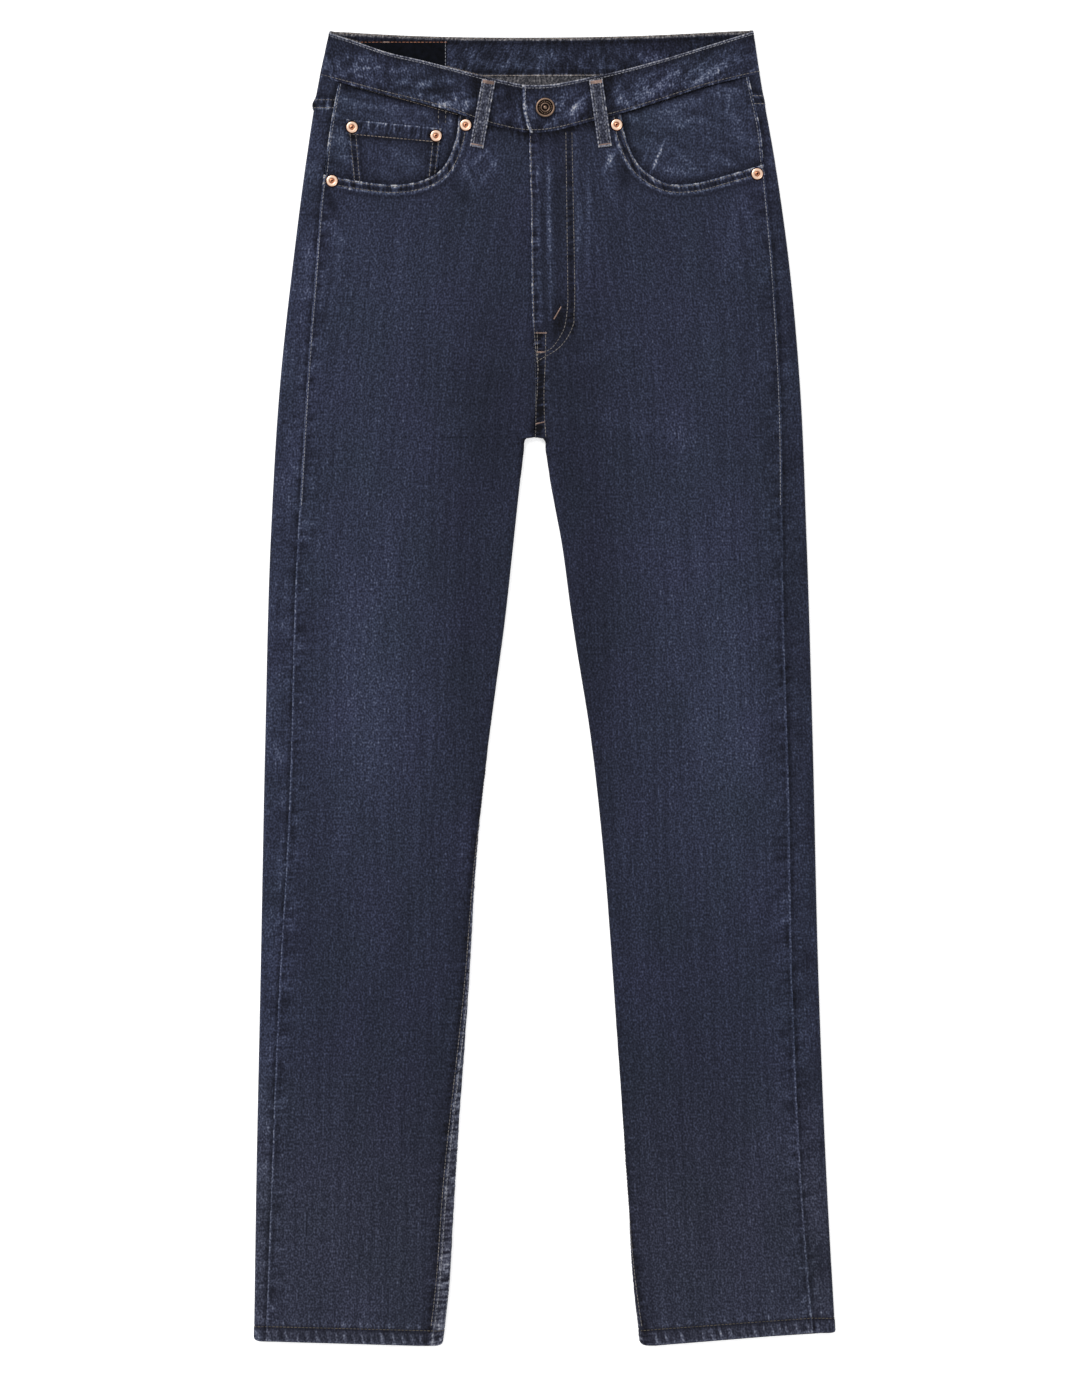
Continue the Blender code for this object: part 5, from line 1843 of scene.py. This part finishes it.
@dataclass
class FrontPocket:
    """The facing behind a front pocket's opening."""

    side: Side
    width: float = 110
    depth: float = 90
    cut: tuple[float, float] = (135, 100)
    bars: tuple[float, float] = (-87.4, -81.6)  # X of the rows that hold the coin pocket's corner

    def edge_y(self, x: Array) -> Array:
        """Height of the pocket's edge at x, level past its ends.

        Args:
            x: Places across.

        Returns:
            The heights.
        """
        curve = smooth_curve(POCKET_EDGE[self.side])
        order = np.argsort(curve[:, 0])
        return np.interp(x, curve[order, 0], curve[order, 1])

    def top(self, x: Array, y: Array) -> Array:
        """Height of the facing's upper side: level with the front at the outseam, below it elsewhere.

        Args:
            x: Places across.
            y: Places up.

        Returns:
            The heights.
        """
        tube = LegTube(self.side)
        beside = ramp(np.abs(x - tube.outseam_x(y)), 14, 0.5)
        opened = ramp(y - self.edge_y(x), 8, 22)
        return tube.height(y) - FACING_DROP[self.side] * (1 - beside * opened)

    def build(self) -> Object:
        """Makes the facing.

        Returns:
            The finished piece.
        """
        tube, sign, seed = LegTube(self.side), self.side.value, 400 + self.side.value
        inner_x = POCKET_EDGE[self.side][-1][0] - sign * FACING_OVERLAP
        across = graded(self.width, 1.2, 0.3, 1.2)[None, :]
        down = graded(self.depth, 1.4, 0.4, 1.4)[:, None]
        high = WAIST_FRONT.at(mix(tube.outseam_x(500), inner_x, across), FOOT) - WAIST_GAP - SEAM
        low_x = mix(tube.outseam_x(410), inner_x, across)
        low = self.edge_y(low_x + sign * FACING_OVERLAP) - FACING_OVERLAP
        y = mix(high, low, down)
        x = mix(tube.outseam_x(y) - sign * SEAM, inner_x, across)
        points = np.stack([x, y, self.top(x, y)], -1)
        out = np.abs(x - tube.outseam_x(y))
        seam = WAIST_FRONT.at(x, FOOT) - y
        pucker = uneven(y + 0.5 * out, 5, seed)
        gather = uneven(x, 3, seed + 1)
        lift, rubbed = creased(FACING_CREASES[self.side], x, y)
        stand = 0.25 * pucker * np.exp(-out / 5) - 0.4 * bell(out, 0.8) + 0.2 * gather * np.exp(-seam / 6)
        stand = stand + 0.35 * cloudy(x, y, (20, 14), seed + 2) + lift
        paint = Paint.plain(x)
        # Rubbed lines, with a dark line of painted shade below the waist seam
        paint.worn += (lines(out, (0.6, 0.8, 1.0)) + 0.3 * pucker * np.exp(-out / 6) + rubbed
                       - lines(seam, (0, 2.5, 0.6)))
        paint.worn += 0.25 * gather * np.exp(-seam / 5) + 0.16 * cloudy(x, y + 0.2 * x, (30, 2.8), seed + 3)
        edge = away_from(x, y, smooth_curve(POCKET_EDGE[self.side])[::2])
        # Painted shade beside the pocket's edge, which stands over the facing, and below the waist seam
        paint.fade += 0.35 - lines(edge, (0, 5, 2.2)) - lines(seam, (0, 6, 0.8))
        paint.marble += 0.35 + 0.4 * np.exp(-out / 8) + 0.3 * np.exp(-seam / 8)
        paint.ribs += 0.5 * np.exp(-out / 8)
        if self.side is Side.RIGHT:
            for at in self.bars:
                beside = ramp(y, 464, 466) * bell(x - at, 3.0)
                paint.worn = paint.worn - 0.6 * beside
                line = np.stack([np.full(8, at), np.linspace(465.5, 473.5, 8)], -1)
                line = np.concatenate([line, self.top(line[:, 0], line[:, 1])[:, None]], 1)
                RUNS.add("coin_pocket", "taupe", line, UP, 0.3)
        flat = np.stack([x, y], -1)
        skin = strip(f"pocket_facing_{self.side.word}_denim", points, UP, CLOTH, stand, paint, flat)
        line = skin.outer[3:, 4]
        line = line[line[:, 1] > self.edge_y(line[:, 0])]
        RUNS.add(f"pocket_{self.side.word}", "grey", line, UP)
        word = self.side.word
        return lay(skin, FACING_DENIM, self.cut, f"pocket_facing_{word}", f"back_{word}", f"yoke_{word}")


@dataclass
class CoinPocket:
    """The small pocket on the right facing."""

    pocket: FrontPocket
    tops: tuple = ((-163, 467.6), (-84, 460.0))
    feet: tuple = ((-157, 408), (-91, 404))
    depth: float = 58
    hem: float = 11  # how far down its hem's row lies
    cut: tuple[float, float] = (80, 60)

    def build(self) -> Object:
        """Makes the pocket and its three sides of stitching.

        Returns:
            The finished piece.
        """
        (ax, ay), (bx, by) = np.array(self.tops)
        (cx, cy), (dx, dy) = np.array(self.feet)
        s = graded(self.cut[0], 1.3, 0.3, 0.3)[None, :]
        t = graded(self.depth, 1.5, 0.3, 1.5)[:, None]
        x = mix(mix(ax, bx, s), mix(cx, dx, s), t)
        y = mix(mix(ay, by, s), mix(cy, dy, s), t)
        width = np.hypot(bx - ax, by - ay)
        sides, down = np.broadcast_arrays(np.minimum(s, 1 - s) * width, t * self.depth)
        points = np.stack([x, y, self.pocket.top(x, y) + COIN_RISE], -1)
        ripple = uneven(x + 0.4 * y, 3.4, 431)
        stand = 0.22 * ripple * bell(down - 6, 5) + 0.3 * cloudy(x, y, (14, 18), 432)
        stand -= lines(sides, (0, 0.6, 0.4)) + lines(down, (0, 0.6, 0.4), (11, 1, 0.25))
        stand += 0.12 * uneven(y, 3, 433) * bell(sides - 4, 4)
        edge = away_from(x, y, smooth_curve(POCKET_EDGE[Side.RIGHT])[::2])
        paint = Paint.plain(x)
        paint.worn += lines(down, (0.5, 0.9, 0.80), (12.8, 1.8, -0.75)) + 0.25 * ripple * bell(down - 5, 4)
        paint.worn += lines(sides, (0.5, 0.8, 0.30), (1.8, 0.8, 0.40), (4.2, 1.5, -0.75), (7.4, 0.8, 0.45),
                            (9.6, 1.6, -0.40))
        paint.marble += 0.45
        paint.pleats += lines(down, (5, 6, 1.0))
        paint.ribs += lines(sides, (4, 4.5, 1.1))
        # A light patch in its middle, darker overall and at its sides, and painted shade beside the pocket's
        # edge, which stands over it
        paint.fade += (1.3 * bell(x + 118, 16) * bell(y - 433, 13) - 0.4 - lines(edge, (0, 4, 1.6))
                       - lines(sides, (0, 5, 0.5)))
        skin = strip("coin_pocket_denim", points, UP, CLOTH, stand, paint, np.stack([x, y], -1))
        hem = int(np.searchsorted(t[:, 0] * self.depth, self.hem))
        RUNS.add("coin_pocket", "tan", skin.outer[hem, 4:-4], UP)
        for aside in COIN_ROWS:
            column = int(np.searchsorted(s[0] * width, aside))
            for at in (column, len(s[0]) - 1 - column):
                line = skin.outer[3:, at]
                line = line[line[:, 1] > self.pocket.edge_y(line[:, 0]) - 1]
                RUNS.add("coin_pocket", "taupe", line, UP)
        return lay(skin, FACING_DENIM, self.cut, "coin_pocket", "pocket_facing_right")


@dataclass
class BackPocket:
    """A plain patch pocket, under the garment as it lies."""

    side: Side
    depth: float = 146
    shoulder: float = 118
    taper: float = 56 / 66  # its width at the shoulder, as a share of that at the top
    rows: tuple[int, int] = (3, 6)  # columns of the grid that its two rows of stitches follow

    def build(self) -> Object:
        """Makes the pocket and its double row of stitches.

        Returns:
            The finished piece.
        """
        low, high = box(f"back_pocket_{self.side.word}")
        centre, top = (low.x + high.x) / 2, high.y
        wide = (high.x - low.x) / 2
        narrow = wide * self.taper
        s = graded(2 * wide, 2.6, 0.4, 0.4)[None, :] * 2 - 1
        t = graded(self.depth, 2.6, 0.4, 0.4)[:, None]
        foot = self.shoulder + (self.depth - self.shoulder) * (1 - np.abs(s))
        y = top - t * foot
        half = mix(wide, narrow, np.minimum(t * foot / self.shoulder, 1.0))
        x = centre + s * np.where(t * foot > self.shoulder, narrow, half)
        edge = np.minimum((1 - np.abs(s)) * wide, np.minimum(t, 1 - t) * self.depth)
        points = np.stack([x, y, np.full(x.shape, 0.2)], -1)
        stand = -0.3 * bell(edge, 0.7)
        paint = Paint.plain(x)
        paint.worn = 0.8 * bell(edge - 0.5, 0.9)
        paint.marble = 0.6 * bell(edge - 3, 5)
        skin = strip(f"back_pocket_{self.side.word}_denim", points, DOWN, CLOTH - 0.2, stand, paint,
                     np.stack([-x, y], -1))
        outer = skin.outer
        for inset in self.rows:
            loop = [outer[1, inset, :]] + list(outer[2:-inset, inset]) + list(outer[-inset, inset:-inset])
            loop += list(outer[2:-inset, -1 - inset][::-1])
            RUNS.add("back_pockets", "tan", np.array(loop), DOWN)
        return lay(skin, BODY_DENIM, (2 * wide, self.depth), f"back_pocket_{self.side.word}")


# ---------------------------------------------------------------- sewing and metal


def group_tree(name: str, sockets: Sequence[tuple[str, str, object]]) -> NodeTree:
    """A new Geometry Nodes tree with a geometry input, these named inputs, and a geometry output.

    Args:
        name: Its name.
        sockets: Name, type and default value of each input.

    Returns:
        The tree.
    """
    tree = bpy.data.node_groups.new(name, "GeometryNodeTree")
    tree.interface.new_socket("Geometry", in_out="INPUT", socket_type="NodeSocketGeometry")
    for label, kind, value in sockets:
        socket = tree.interface.new_socket(label, in_out="INPUT", socket_type=kind)
        if value is not None:
            socket.default_value = value
    tree.interface.new_socket("Geometry", in_out="OUTPUT", socket_type="NodeSocketGeometry")
    return tree


def close_tree(tree: NodeTree, geometry: Node, material: NodeSocket) -> None:
    """Makes every copy real, dresses the whole in a material and puts it out.

    Args:
        tree: The tree.
        geometry: Its last node.
        material: The material that it was given.
    """
    real = add_node(tree, "GeometryNodeRealizeInstances", {"Geometry": geometry})
    dressed = add_node(tree, "GeometryNodeSetMaterial", {"Geometry": real, "Material": material})
    add_node(tree, "NodeGroupOutput", {"Geometry": dressed})


def grow(name: str, mesh: Mesh, tree: NodeTree, values: dict[str, object]) -> Object:
    """Runs a tree on a mesh and keeps the result as a plain mesh.

    Args:
        name: The finished piece's name.
        mesh: What the tree starts from.
        tree: The tree.
        values: A value for each of its named inputs.

    Returns:
        The finished object, with no modifier.
    """
    seed = bpy.data.objects.new(name + "_start", mesh)
    bpy.context.scene.collection.objects.link(seed)
    modifier = seed.modifiers.new("grow", "NODES")
    modifier.node_group = tree
    for item in tree.interface.items_tree:
        if item.item_type == "SOCKET" and item.in_out == "INPUT" and item.name in values:
            modifier[item.identifier] = values[item.name]
    graph = bpy.context.evaluated_depsgraph_get()
    plain = bpy.data.meshes.new_from_object(seed.evaluated_get(graph), depsgraph=graph)
    plain.name = name
    bpy.data.objects.remove(seed)
    made = bpy.data.objects.new(name, plain)
    bpy.context.scene.collection.objects.link(made)
    return made


@dataclass(frozen=True)
class Stitch:
    """One pad of thread, and how far on the next one lies."""

    pitch: float
    length: float
    width: float
    height: float
    turn: float = 0.0  # from the line's direction


@dataclass
class Topstitching:
    """The sewing: each stitch is a short pad of thread between two needle holes."""

    plain: Stitch = Stitch(3.0, 2.7, 0.72, 0.50)
    tack: Stitch = Stitch(0.55, 1.25, 0.6, 0.6, math.pi / 2)

    def tree(self) -> NodeTree:
        """Puts a pad of thread at every step along each line, square to the attribute "up".

        Returns:
            The tree.
        """
        floats = [(size, "NodeSocketFloat", MM) for size in ("Pitch", "Length", "Width", "Height", "Turn")]
        tree = group_tree("topstitch",
                          [*floats, ("Seed", "NodeSocketInt", 1), ("Thread", "NodeSocketMaterial", None)])
        given = add_node(tree, "NodeGroupInput").outputs
        curve = add_node(tree, "GeometryNodeMeshToCurve", {"Mesh": given["Geometry"]})
        steps = add_node(tree, "GeometryNodeResampleCurve", {"Curve": curve, "Length": given["Pitch"]},
                         mode="LENGTH")
        tangent = add_node(tree, "GeometryNodeInputTangent").outputs[0]
        up = add_node(tree, "GeometryNodeInputNamedAttribute", {"Name": "up"},
                      data_type="FLOAT_VECTOR").outputs[0]
        ahead = add_node(tree, "FunctionNodeAlignRotationToVector", {"Vector": tangent}, axis="X")
        square = add_node(tree, "FunctionNodeAlignRotationToVector", {"Rotation": ahead, "Vector": up},
                          axis="Z", pivot_axis="X")
        slack = add_node(tree, "FunctionNodeRandomValue", {2: -0.07, 3: 0.07, "Seed": given["Seed"]},
                         data_type="FLOAT")
        swing = add_node(tree, "ShaderNodeMath", {0: slack.outputs[1], 1: given["Turn"]}, operation="ADD")
        euler = add_node(tree, "ShaderNodeCombineXYZ", {"Z": swing})
        turned = add_node(tree, "FunctionNodeRotateRotation", {"Rotation": square, "Rotate By": euler},
                          rotation_space="LOCAL")
        size = add_node(tree, "FunctionNodeRandomValue", {2: 0.88, 3: 1.1, "Seed": given["Seed"]},
                        data_type="FLOAT")
        pad = add_node(tree, "GeometryNodeMeshUVSphere", {"Segments": 6, "Rings": 4, "Radius": 0.5})
        shape = add_node(tree, "ShaderNodeCombineXYZ",
                         {"X": given["Height"], "Y": given["Width"], "Z": given["Length"]})
        laid = add_node(tree, "GeometryNodeTransform",
                        {"Geometry": pad, "Rotation": (0, math.pi / 2, 0), "Scale": shape})
        smooth = add_node(tree, "GeometryNodeSetShadeSmooth", {"Geometry": laid})
        placed = add_node(tree, "GeometryNodeInstanceOnPoints",
                          {"Points": steps, "Instance": smooth,
                           "Rotation": turned, "Scale": size.outputs[1]})
        close_tree(tree, placed, given["Thread"])
        return tree

    def line_mesh(self, name: str, lines: Sequence[tuple[Array, Array]]) -> Mesh:
        """The lines as bare edges, with the outward direction at each point.

        Args:
            name: Its name.
            lines: Points and directions of each line.

        Returns:
            The mesh, with the attribute "up".
        """
        points = np.concatenate([line for line, _ in lines])
        ups = np.concatenate([up for _, up in lines])
        edges, base = [], 0
        for line, _ in lines:
            index = np.arange(base, base + len(line))
            edges.append(np.stack([index[:-1], index[1:]], 1))
            base += len(line)
        mesh = bpy.data.meshes.new(name)
        mesh.from_pydata((points * MM).tolist(), np.concatenate(edges).tolist(), [])
        layer = mesh.attributes.new("up", "FLOAT_VECTOR", "POINT")
        layer.data.foreach_set("vector", ups.astype(np.float32).ravel())
        return mesh

    def build(self) -> None:
        """Stitches every line that the cloth pieces have left, one piece for each group and thread."""
        tree = self.tree()
        for number, ((group, kind), lines) in enumerate(RUNS.lines.items()):
            stitch = self.tack if kind == "tack" else self.plain
            values = {size: getattr(stitch, size.lower()) * MM
                      for size in ("Pitch", "Length", "Width", "Height")}
            values.update(Turn=stitch.turn, Seed=10 + number, Thread=WARDROBE.get(THREADS[kind]))
            name = f"stitches_{group}_{kind}"
            settle(grow(name, self.line_mesh(name, lines), tree, values), None)


# Half sections of the metal from the foot's middle out and up to the top's: shares of the radius and the
# height, and how far each place stands proud, which brightens it. The rivet's foot reaches out past its rim
# as dark as a hollow: a painted shadow on the cloth round it.
RIVET_SECTION = (
    (0, 0, -0.5), (1.10, 0, -0.5), (1.08, 0.20, -0.5), (0.99, 0.28, -0.3), (1, 0.50, 0.1), (0.92, 0.84, 0.6),
    (0.80, 0.93, 0.9), (0.64, 0.90, 0.8), (0.54, 0.86, 0.6), (0.44, 0.78, 0.3), (0.34, 0.74, 0.0),
    (0.28, 0.90, 0.4), (0.20, 0.96, 0.3), (0.13, 0.88, -0.4), (0, 0.8, -0.4),
)
BUTTON_SECTION = (
    (0, 0, 0.2), (0.42, 0, 0.1), (0.42, 0.28, 0.0), (0.90, 0.30, 0.1), (1, 0.44, 0.4), (1, 0.62, 0.6),
    (0.96, 0.84, 0.8), (0.90, 0.97, 0.8), (0.82, 0.99, 0.6), (0.76, 0.88, -0.2), (0.72, 0.80, -0.4),
    (0.52, 0.80, -0.3), (0.48, 0.84, 0.3), (0.44, 0.93, 0.6), (0.38, 0.93, 0.5), (0.34, 0.84, -0.2),
    (0.22, 0.83, -0.3), (0.17, 0.92, 0.5), (0.09, 0.97, 0.6), (0, 0.98, 0.6),
)


def turned_mesh(name: str, section: Sequence[tuple[float, float, float]], radius: float, height: float,
                steps: int) -> Mesh:
    """A closed round mesh about the Z axis.

    Args:
        name: The mesh's name.
        section: Its half section.
        radius: Its radius.
        height: Its height.
        steps: How many sides it has.

    Returns:
        The mesh, with the attribute "proud".
    """
    rings = [(radius * across, height * up, proud) for across, up, proud in section]
    angles = np.linspace(0, 2 * math.pi, steps, endpoint=False)
    points, proud = [(0, 0, rings[0][1])], [rings[0][2]]
    for reach, level, value in rings[1:-1]:
        points += [(reach * math.cos(a), reach * math.sin(a), level) for a in angles]
        proud += [value] * steps
    points.append((0, 0, rings[-1][1]))
    proud.append(rings[-1][2])
    faces = []
    starts = range(1, len(points) - 1, steps)
    for i in range(steps):
        j = (i + 1) % steps
        faces.append((0, 1 + j, 1 + i))
        faces += [(a + i, a + j, a + steps + j, a + steps + i) for a in starts[:-1]]
        faces.append((starts[-1] + i, starts[-1] + j, len(points) - 1))
    mesh = bpy.data.meshes.new(name)
    mesh.from_pydata(points, [], faces)
    mesh.attributes.new("proud", "FLOAT", "POINT").data.foreach_set("value", np.array(proud, np.float32))
    mesh.shade_smooth()
    return mesh


@dataclass
class Rivets:
    """Six copper rivets: a cap with a rolled rim round a dished middle, a dark burr, and a painted shadow
    round its foot.
    """

    radius: float = 4.8 * MM
    height: float = 1.3 * MM
    nodes: tuple[str, ...] = ("rivet_coin_outer", "rivet_coin_inner", "rivet_pocket_right_waist",
                              "rivet_pocket_right_side", "rivet_pocket_left_waist", "rivet_pocket_left_side")

    def cap(self) -> Object:
        """One rivet at the origin.

        Returns:
            The cap.
        """
        cap = bpy.data.objects.new("rivet_cap",
                                   turned_mesh("rivet_cap", RIVET_SECTION, self.radius, self.height, 28))
        bpy.context.scene.collection.objects.link(cap)
        return cap

    def tree(self) -> NodeTree:
        """Puts a cap on every point, each turned its own way.

        Returns:
            The tree.
        """
        tree = group_tree("rivets", [("Cap", "NodeSocketObject", None), ("Seed", "NodeSocketInt", 1),
                                     ("Metal", "NodeSocketMaterial", None)])
        given = add_node(tree, "NodeGroupInput").outputs
        cap = add_node(tree, "GeometryNodeObjectInfo", {"Object": given["Cap"]})
        spin = add_node(tree, "FunctionNodeRandomValue",
                        {0: (-0.05, -0.05, 0), 1: (0.05, 0.05, 6.28), "Seed": given["Seed"]},
                        data_type="FLOAT_VECTOR")
        placed = add_node(tree, "GeometryNodeInstanceOnPoints",
                          {"Points": given["Geometry"], "Instance": cap.outputs["Geometry"],
                           "Rotation": spin})
        close_tree(tree, placed, given["Metal"])
        return tree

    def build(self) -> Object:
        """Makes all six as one piece.

        Returns:
            The finished piece.
        """
        points = []
        for node in self.nodes:
            low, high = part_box(node)
            points.append(((low.x + high.x) / 2, (low.y + high.y) / 2, low.z))
        mesh = bpy.data.meshes.new("rivet_places")
        mesh.from_pydata(points, [], [])
        cap = self.cap()
        made = grow("rivets_copper", mesh, self.tree(),
                    {"Cap": cap, "Seed": 3, "Metal": WARDROBE.get(COPPER)})
        bpy.data.objects.remove(cap)
        return settle(made, "copper", *self.nodes)


@dataclass
class Button:
    """The shank button: a rolled rim, a beaded ring and a plain boss, aged dark."""

    beads: int = 22
    node: str = "button"

    def tree(self) -> NodeTree:
        """Joins a ring of beads to the turned body.

        Returns:
            The tree.
        """
        sockets = [(size, "NodeSocketFloat", MM) for size in ("Radius", "Height", "Bead")]
        sockets += [("Count", "NodeSocketInt", 1), ("Metal", "NodeSocketMaterial", None)]
        tree = group_tree("beaded_ring", sockets)
        given = add_node(tree, "NodeGroupInput").outputs
        ring = add_node(tree, "GeometryNodeMeshCircle",
                        {"Vertices": given["Count"], "Radius": given["Radius"]})
        raised = add_node(tree, "ShaderNodeCombineXYZ", {"Z": given["Height"]})
        lifted = add_node(tree, "GeometryNodeTransform", {"Geometry": ring, "Translation": raised})
        bead = add_node(tree, "GeometryNodeMeshIcoSphere", {"Radius": given["Bead"], "Subdivisions": 2})
        proud = add_node(tree, "GeometryNodeStoreNamedAttribute",
                         {"Geometry": bead, "Name": "proud", "Value": 0.6},
                         data_type="FLOAT", domain="POINT")
        smooth = add_node(tree, "GeometryNodeSetShadeSmooth", {"Geometry": proud})
        placed = add_node(tree, "GeometryNodeInstanceOnPoints", {"Points": lifted, "Instance": smooth})
        joined = add_node(tree, "GeometryNodeJoinGeometry", {"Geometry": given["Geometry"]})
        tree.links.new(placed.outputs[0], joined.inputs[0])
        close_tree(tree, joined, given["Metal"])
        return tree

    def build(self) -> Object:
        """Makes the button where the frame has it.

        Returns:
            The finished piece.
        """
        low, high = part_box(self.node)
        r, h = (high.x - low.x) / 2, high.z - low.z
        body = turned_mesh("button_body", BUTTON_SECTION, r, h, 48)
        values = {"Radius": 0.62 * r, "Height": 0.82 * h, "Bead": 0.062 * r, "Count": self.beads,
                  "Metal": WARDROBE.get(AGED_COPPER)}
        made = grow("button_aged_copper", body, self.tree(), values)
        centre = Vector(((low.x + high.x) / 2, (low.y + high.y) / 2, low.z))
        made.data.transform(Matrix.Translation(centre))
        return settle(made, "antique_brass", self.node)


@dataclass
class InnerLabel:
    """The bare label sewn inside the back waistband."""

    node: str = "inner_label"

    def build(self) -> Object:
        """Makes the label, slightly bowed, and its stitched edges.

        Returns:
            The finished piece.
        """
        low, high = box(self.node)
        across = graded(high.x - low.x, 2.4, 0.3, 0.3)[None, :]
        up_share = graded(high.y - low.y, 2.4, 0.3, 0.3)[:, None]
        x, y = np.broadcast_arrays(mix(low.x, high.x, across), mix(high.y, low.y, up_share))
        edge = np.minimum(np.minimum(x - low.x, high.x - x), np.minimum(y - low.y, high.y - y))
        stand = 0.25 * cloudy(x, y, (16, 9), 501) - 0.35 * bell(edge, 0.6)
        points = np.stack([x, y, np.full(x.shape, high.z)], -1)
        skin = strip("inner_label_satin", points, UP, (high.z - low.z) * 0.9, stand, Paint.plain(x),
                     np.stack([x, y], -1))
        piece = lay(skin, LABEL_SATIN, (high.x - low.x, high.y - low.y), self.node, "waistband", slot="label")
        row = skin.outer[2, 2:-2]
        RUNS.add("label", "rust", row, UP)
        RUNS.add("label", "tack", along_curve(row[10:13], TACK_STEP), UP, RAISED + 0.2)
        RUNS.add("label", "grey", skin.outer[2:-2, -3], UP)
        return piece


@dataclass
class Zip:
    """The closed zip behind the flap. The frame's own strip is its tape."""

    node: str = "zip"

    def build(self) -> None:
        """Dresses the frame's strip."""
        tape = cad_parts[self.node]
        tape.data.materials.clear()
        tape.data.materials.append(WARDROBE.get(ZIP_TAPE))
        LOG.info("zip: the frame's own strip")


# ---------------------------------------------------------------- studio


@dataclass
class Studio:
    """A light table, soft light from all round, a soft key from the upper left, and the camera above."""

    span: float = 1.130  # of the long side of the view
    distance: float = 3.5
    centre_x: float = -4.1 * MM
    reach: float = 6.0  # of the table from its middle
    sky: float = 0.72
    key: float = 1.66
    key_place: tuple[float, float, float] = (-1.5, 1.7, 2.6)
    fill: float = 0.25  # of the key's strength
    fill_place: tuple[float, float, float] = (1.9, -1.4, 2.6)
    spread: float = math.radians(28)
    film: float = 36.0  # width of the camera's sensor

    def build(self) -> None:
        """Makes the floor, the lights and the camera."""
        floor = bpy.data.meshes.new("floor")
        signs = ((-1, -1), (1, -1), (1, 1), (-1, 1))
        corners = [(x * self.reach, y * self.reach, -SEAM * MM) for x, y in signs]
        floor.from_pydata(corners, [], [(0, 1, 2, 3)])
        new_object("floor", floor, LIGHT_TABLE)
        world = bpy.data.worlds.new("studio")
        world.use_nodes = True
        world.node_tree.nodes["Background"].inputs["Color"].default_value = colour("#ffffff")
        world.node_tree.nodes["Background"].inputs["Strength"].default_value = self.sky
        bpy.context.scene.world = world
        self.light("key", self.key_place, self.key)
        self.light("fill", self.fill_place, self.key * self.fill)
        lens = bpy.data.cameras.new("camera")
        lens.sensor_width = self.film
        lens.lens = self.film * self.distance / self.span
        camera = bpy.data.objects.new("camera", lens)
        camera.location = (self.centre_x, 0, self.distance + SEAT_HEIGHT * MM)
        bpy.context.scene.collection.objects.link(camera)
        bpy.context.scene.camera = camera
        bpy.context.scene.view_settings.view_transform = "Standard"

    def light(self, name: str, place: tuple[float, float, float], power: float) -> None:
        """Adds a broad soft light from the direction of this place.

        Args:
            name: Its name.
            place: The place.
            power: Its strength.
        """
        data = bpy.data.lights.new(name, "SUN")
        data.angle, data.energy = self.spread, power
        made = bpy.data.objects.new(name, data)
        made.location = place
        made.rotation_euler = (-Vector(place)).to_track_quat("-Z", "Y").to_euler()
        bpy.context.scene.collection.objects.link(made)


def main() -> None:
    """Builds every sub-assembly in order."""
    logging.basicConfig(level=logging.INFO, format="%(message)s", stream=sys.stdout)
    Studio().build()
    for side in Side:
        FrontLeg(side).build()
        BackLeg(side).build()
        Yoke(side).build()
        BackPocket(side).build()
    Waistband().build()
    pockets = {side: FrontPocket(side) for side in Side}
    for pocket in pockets.values():
        pocket.build()
    CoinPocket(pockets[Side.RIGHT]).build()
    BeltLoop("belt_loop_front_right", (-46.0, 499.4), (-56.2, 444.2)).build()
    BeltLoop("belt_loop_front_left", (41.6, 499.6), (49.2, 444.6)).build()
    for word in ("right", "centre", "left"):
        low, high = box(f"belt_loop_back_{word}")
        x = (low.x + high.x) / 2
        BeltLoop(f"belt_loop_back_{word}", (x, high.y), (x, low.y)).build()
    InnerLabel().build()
    Rivets().build()
    Button().build()
    Zip().build()
    Topstitching().build()


if __name__ == "__main__":
    main()
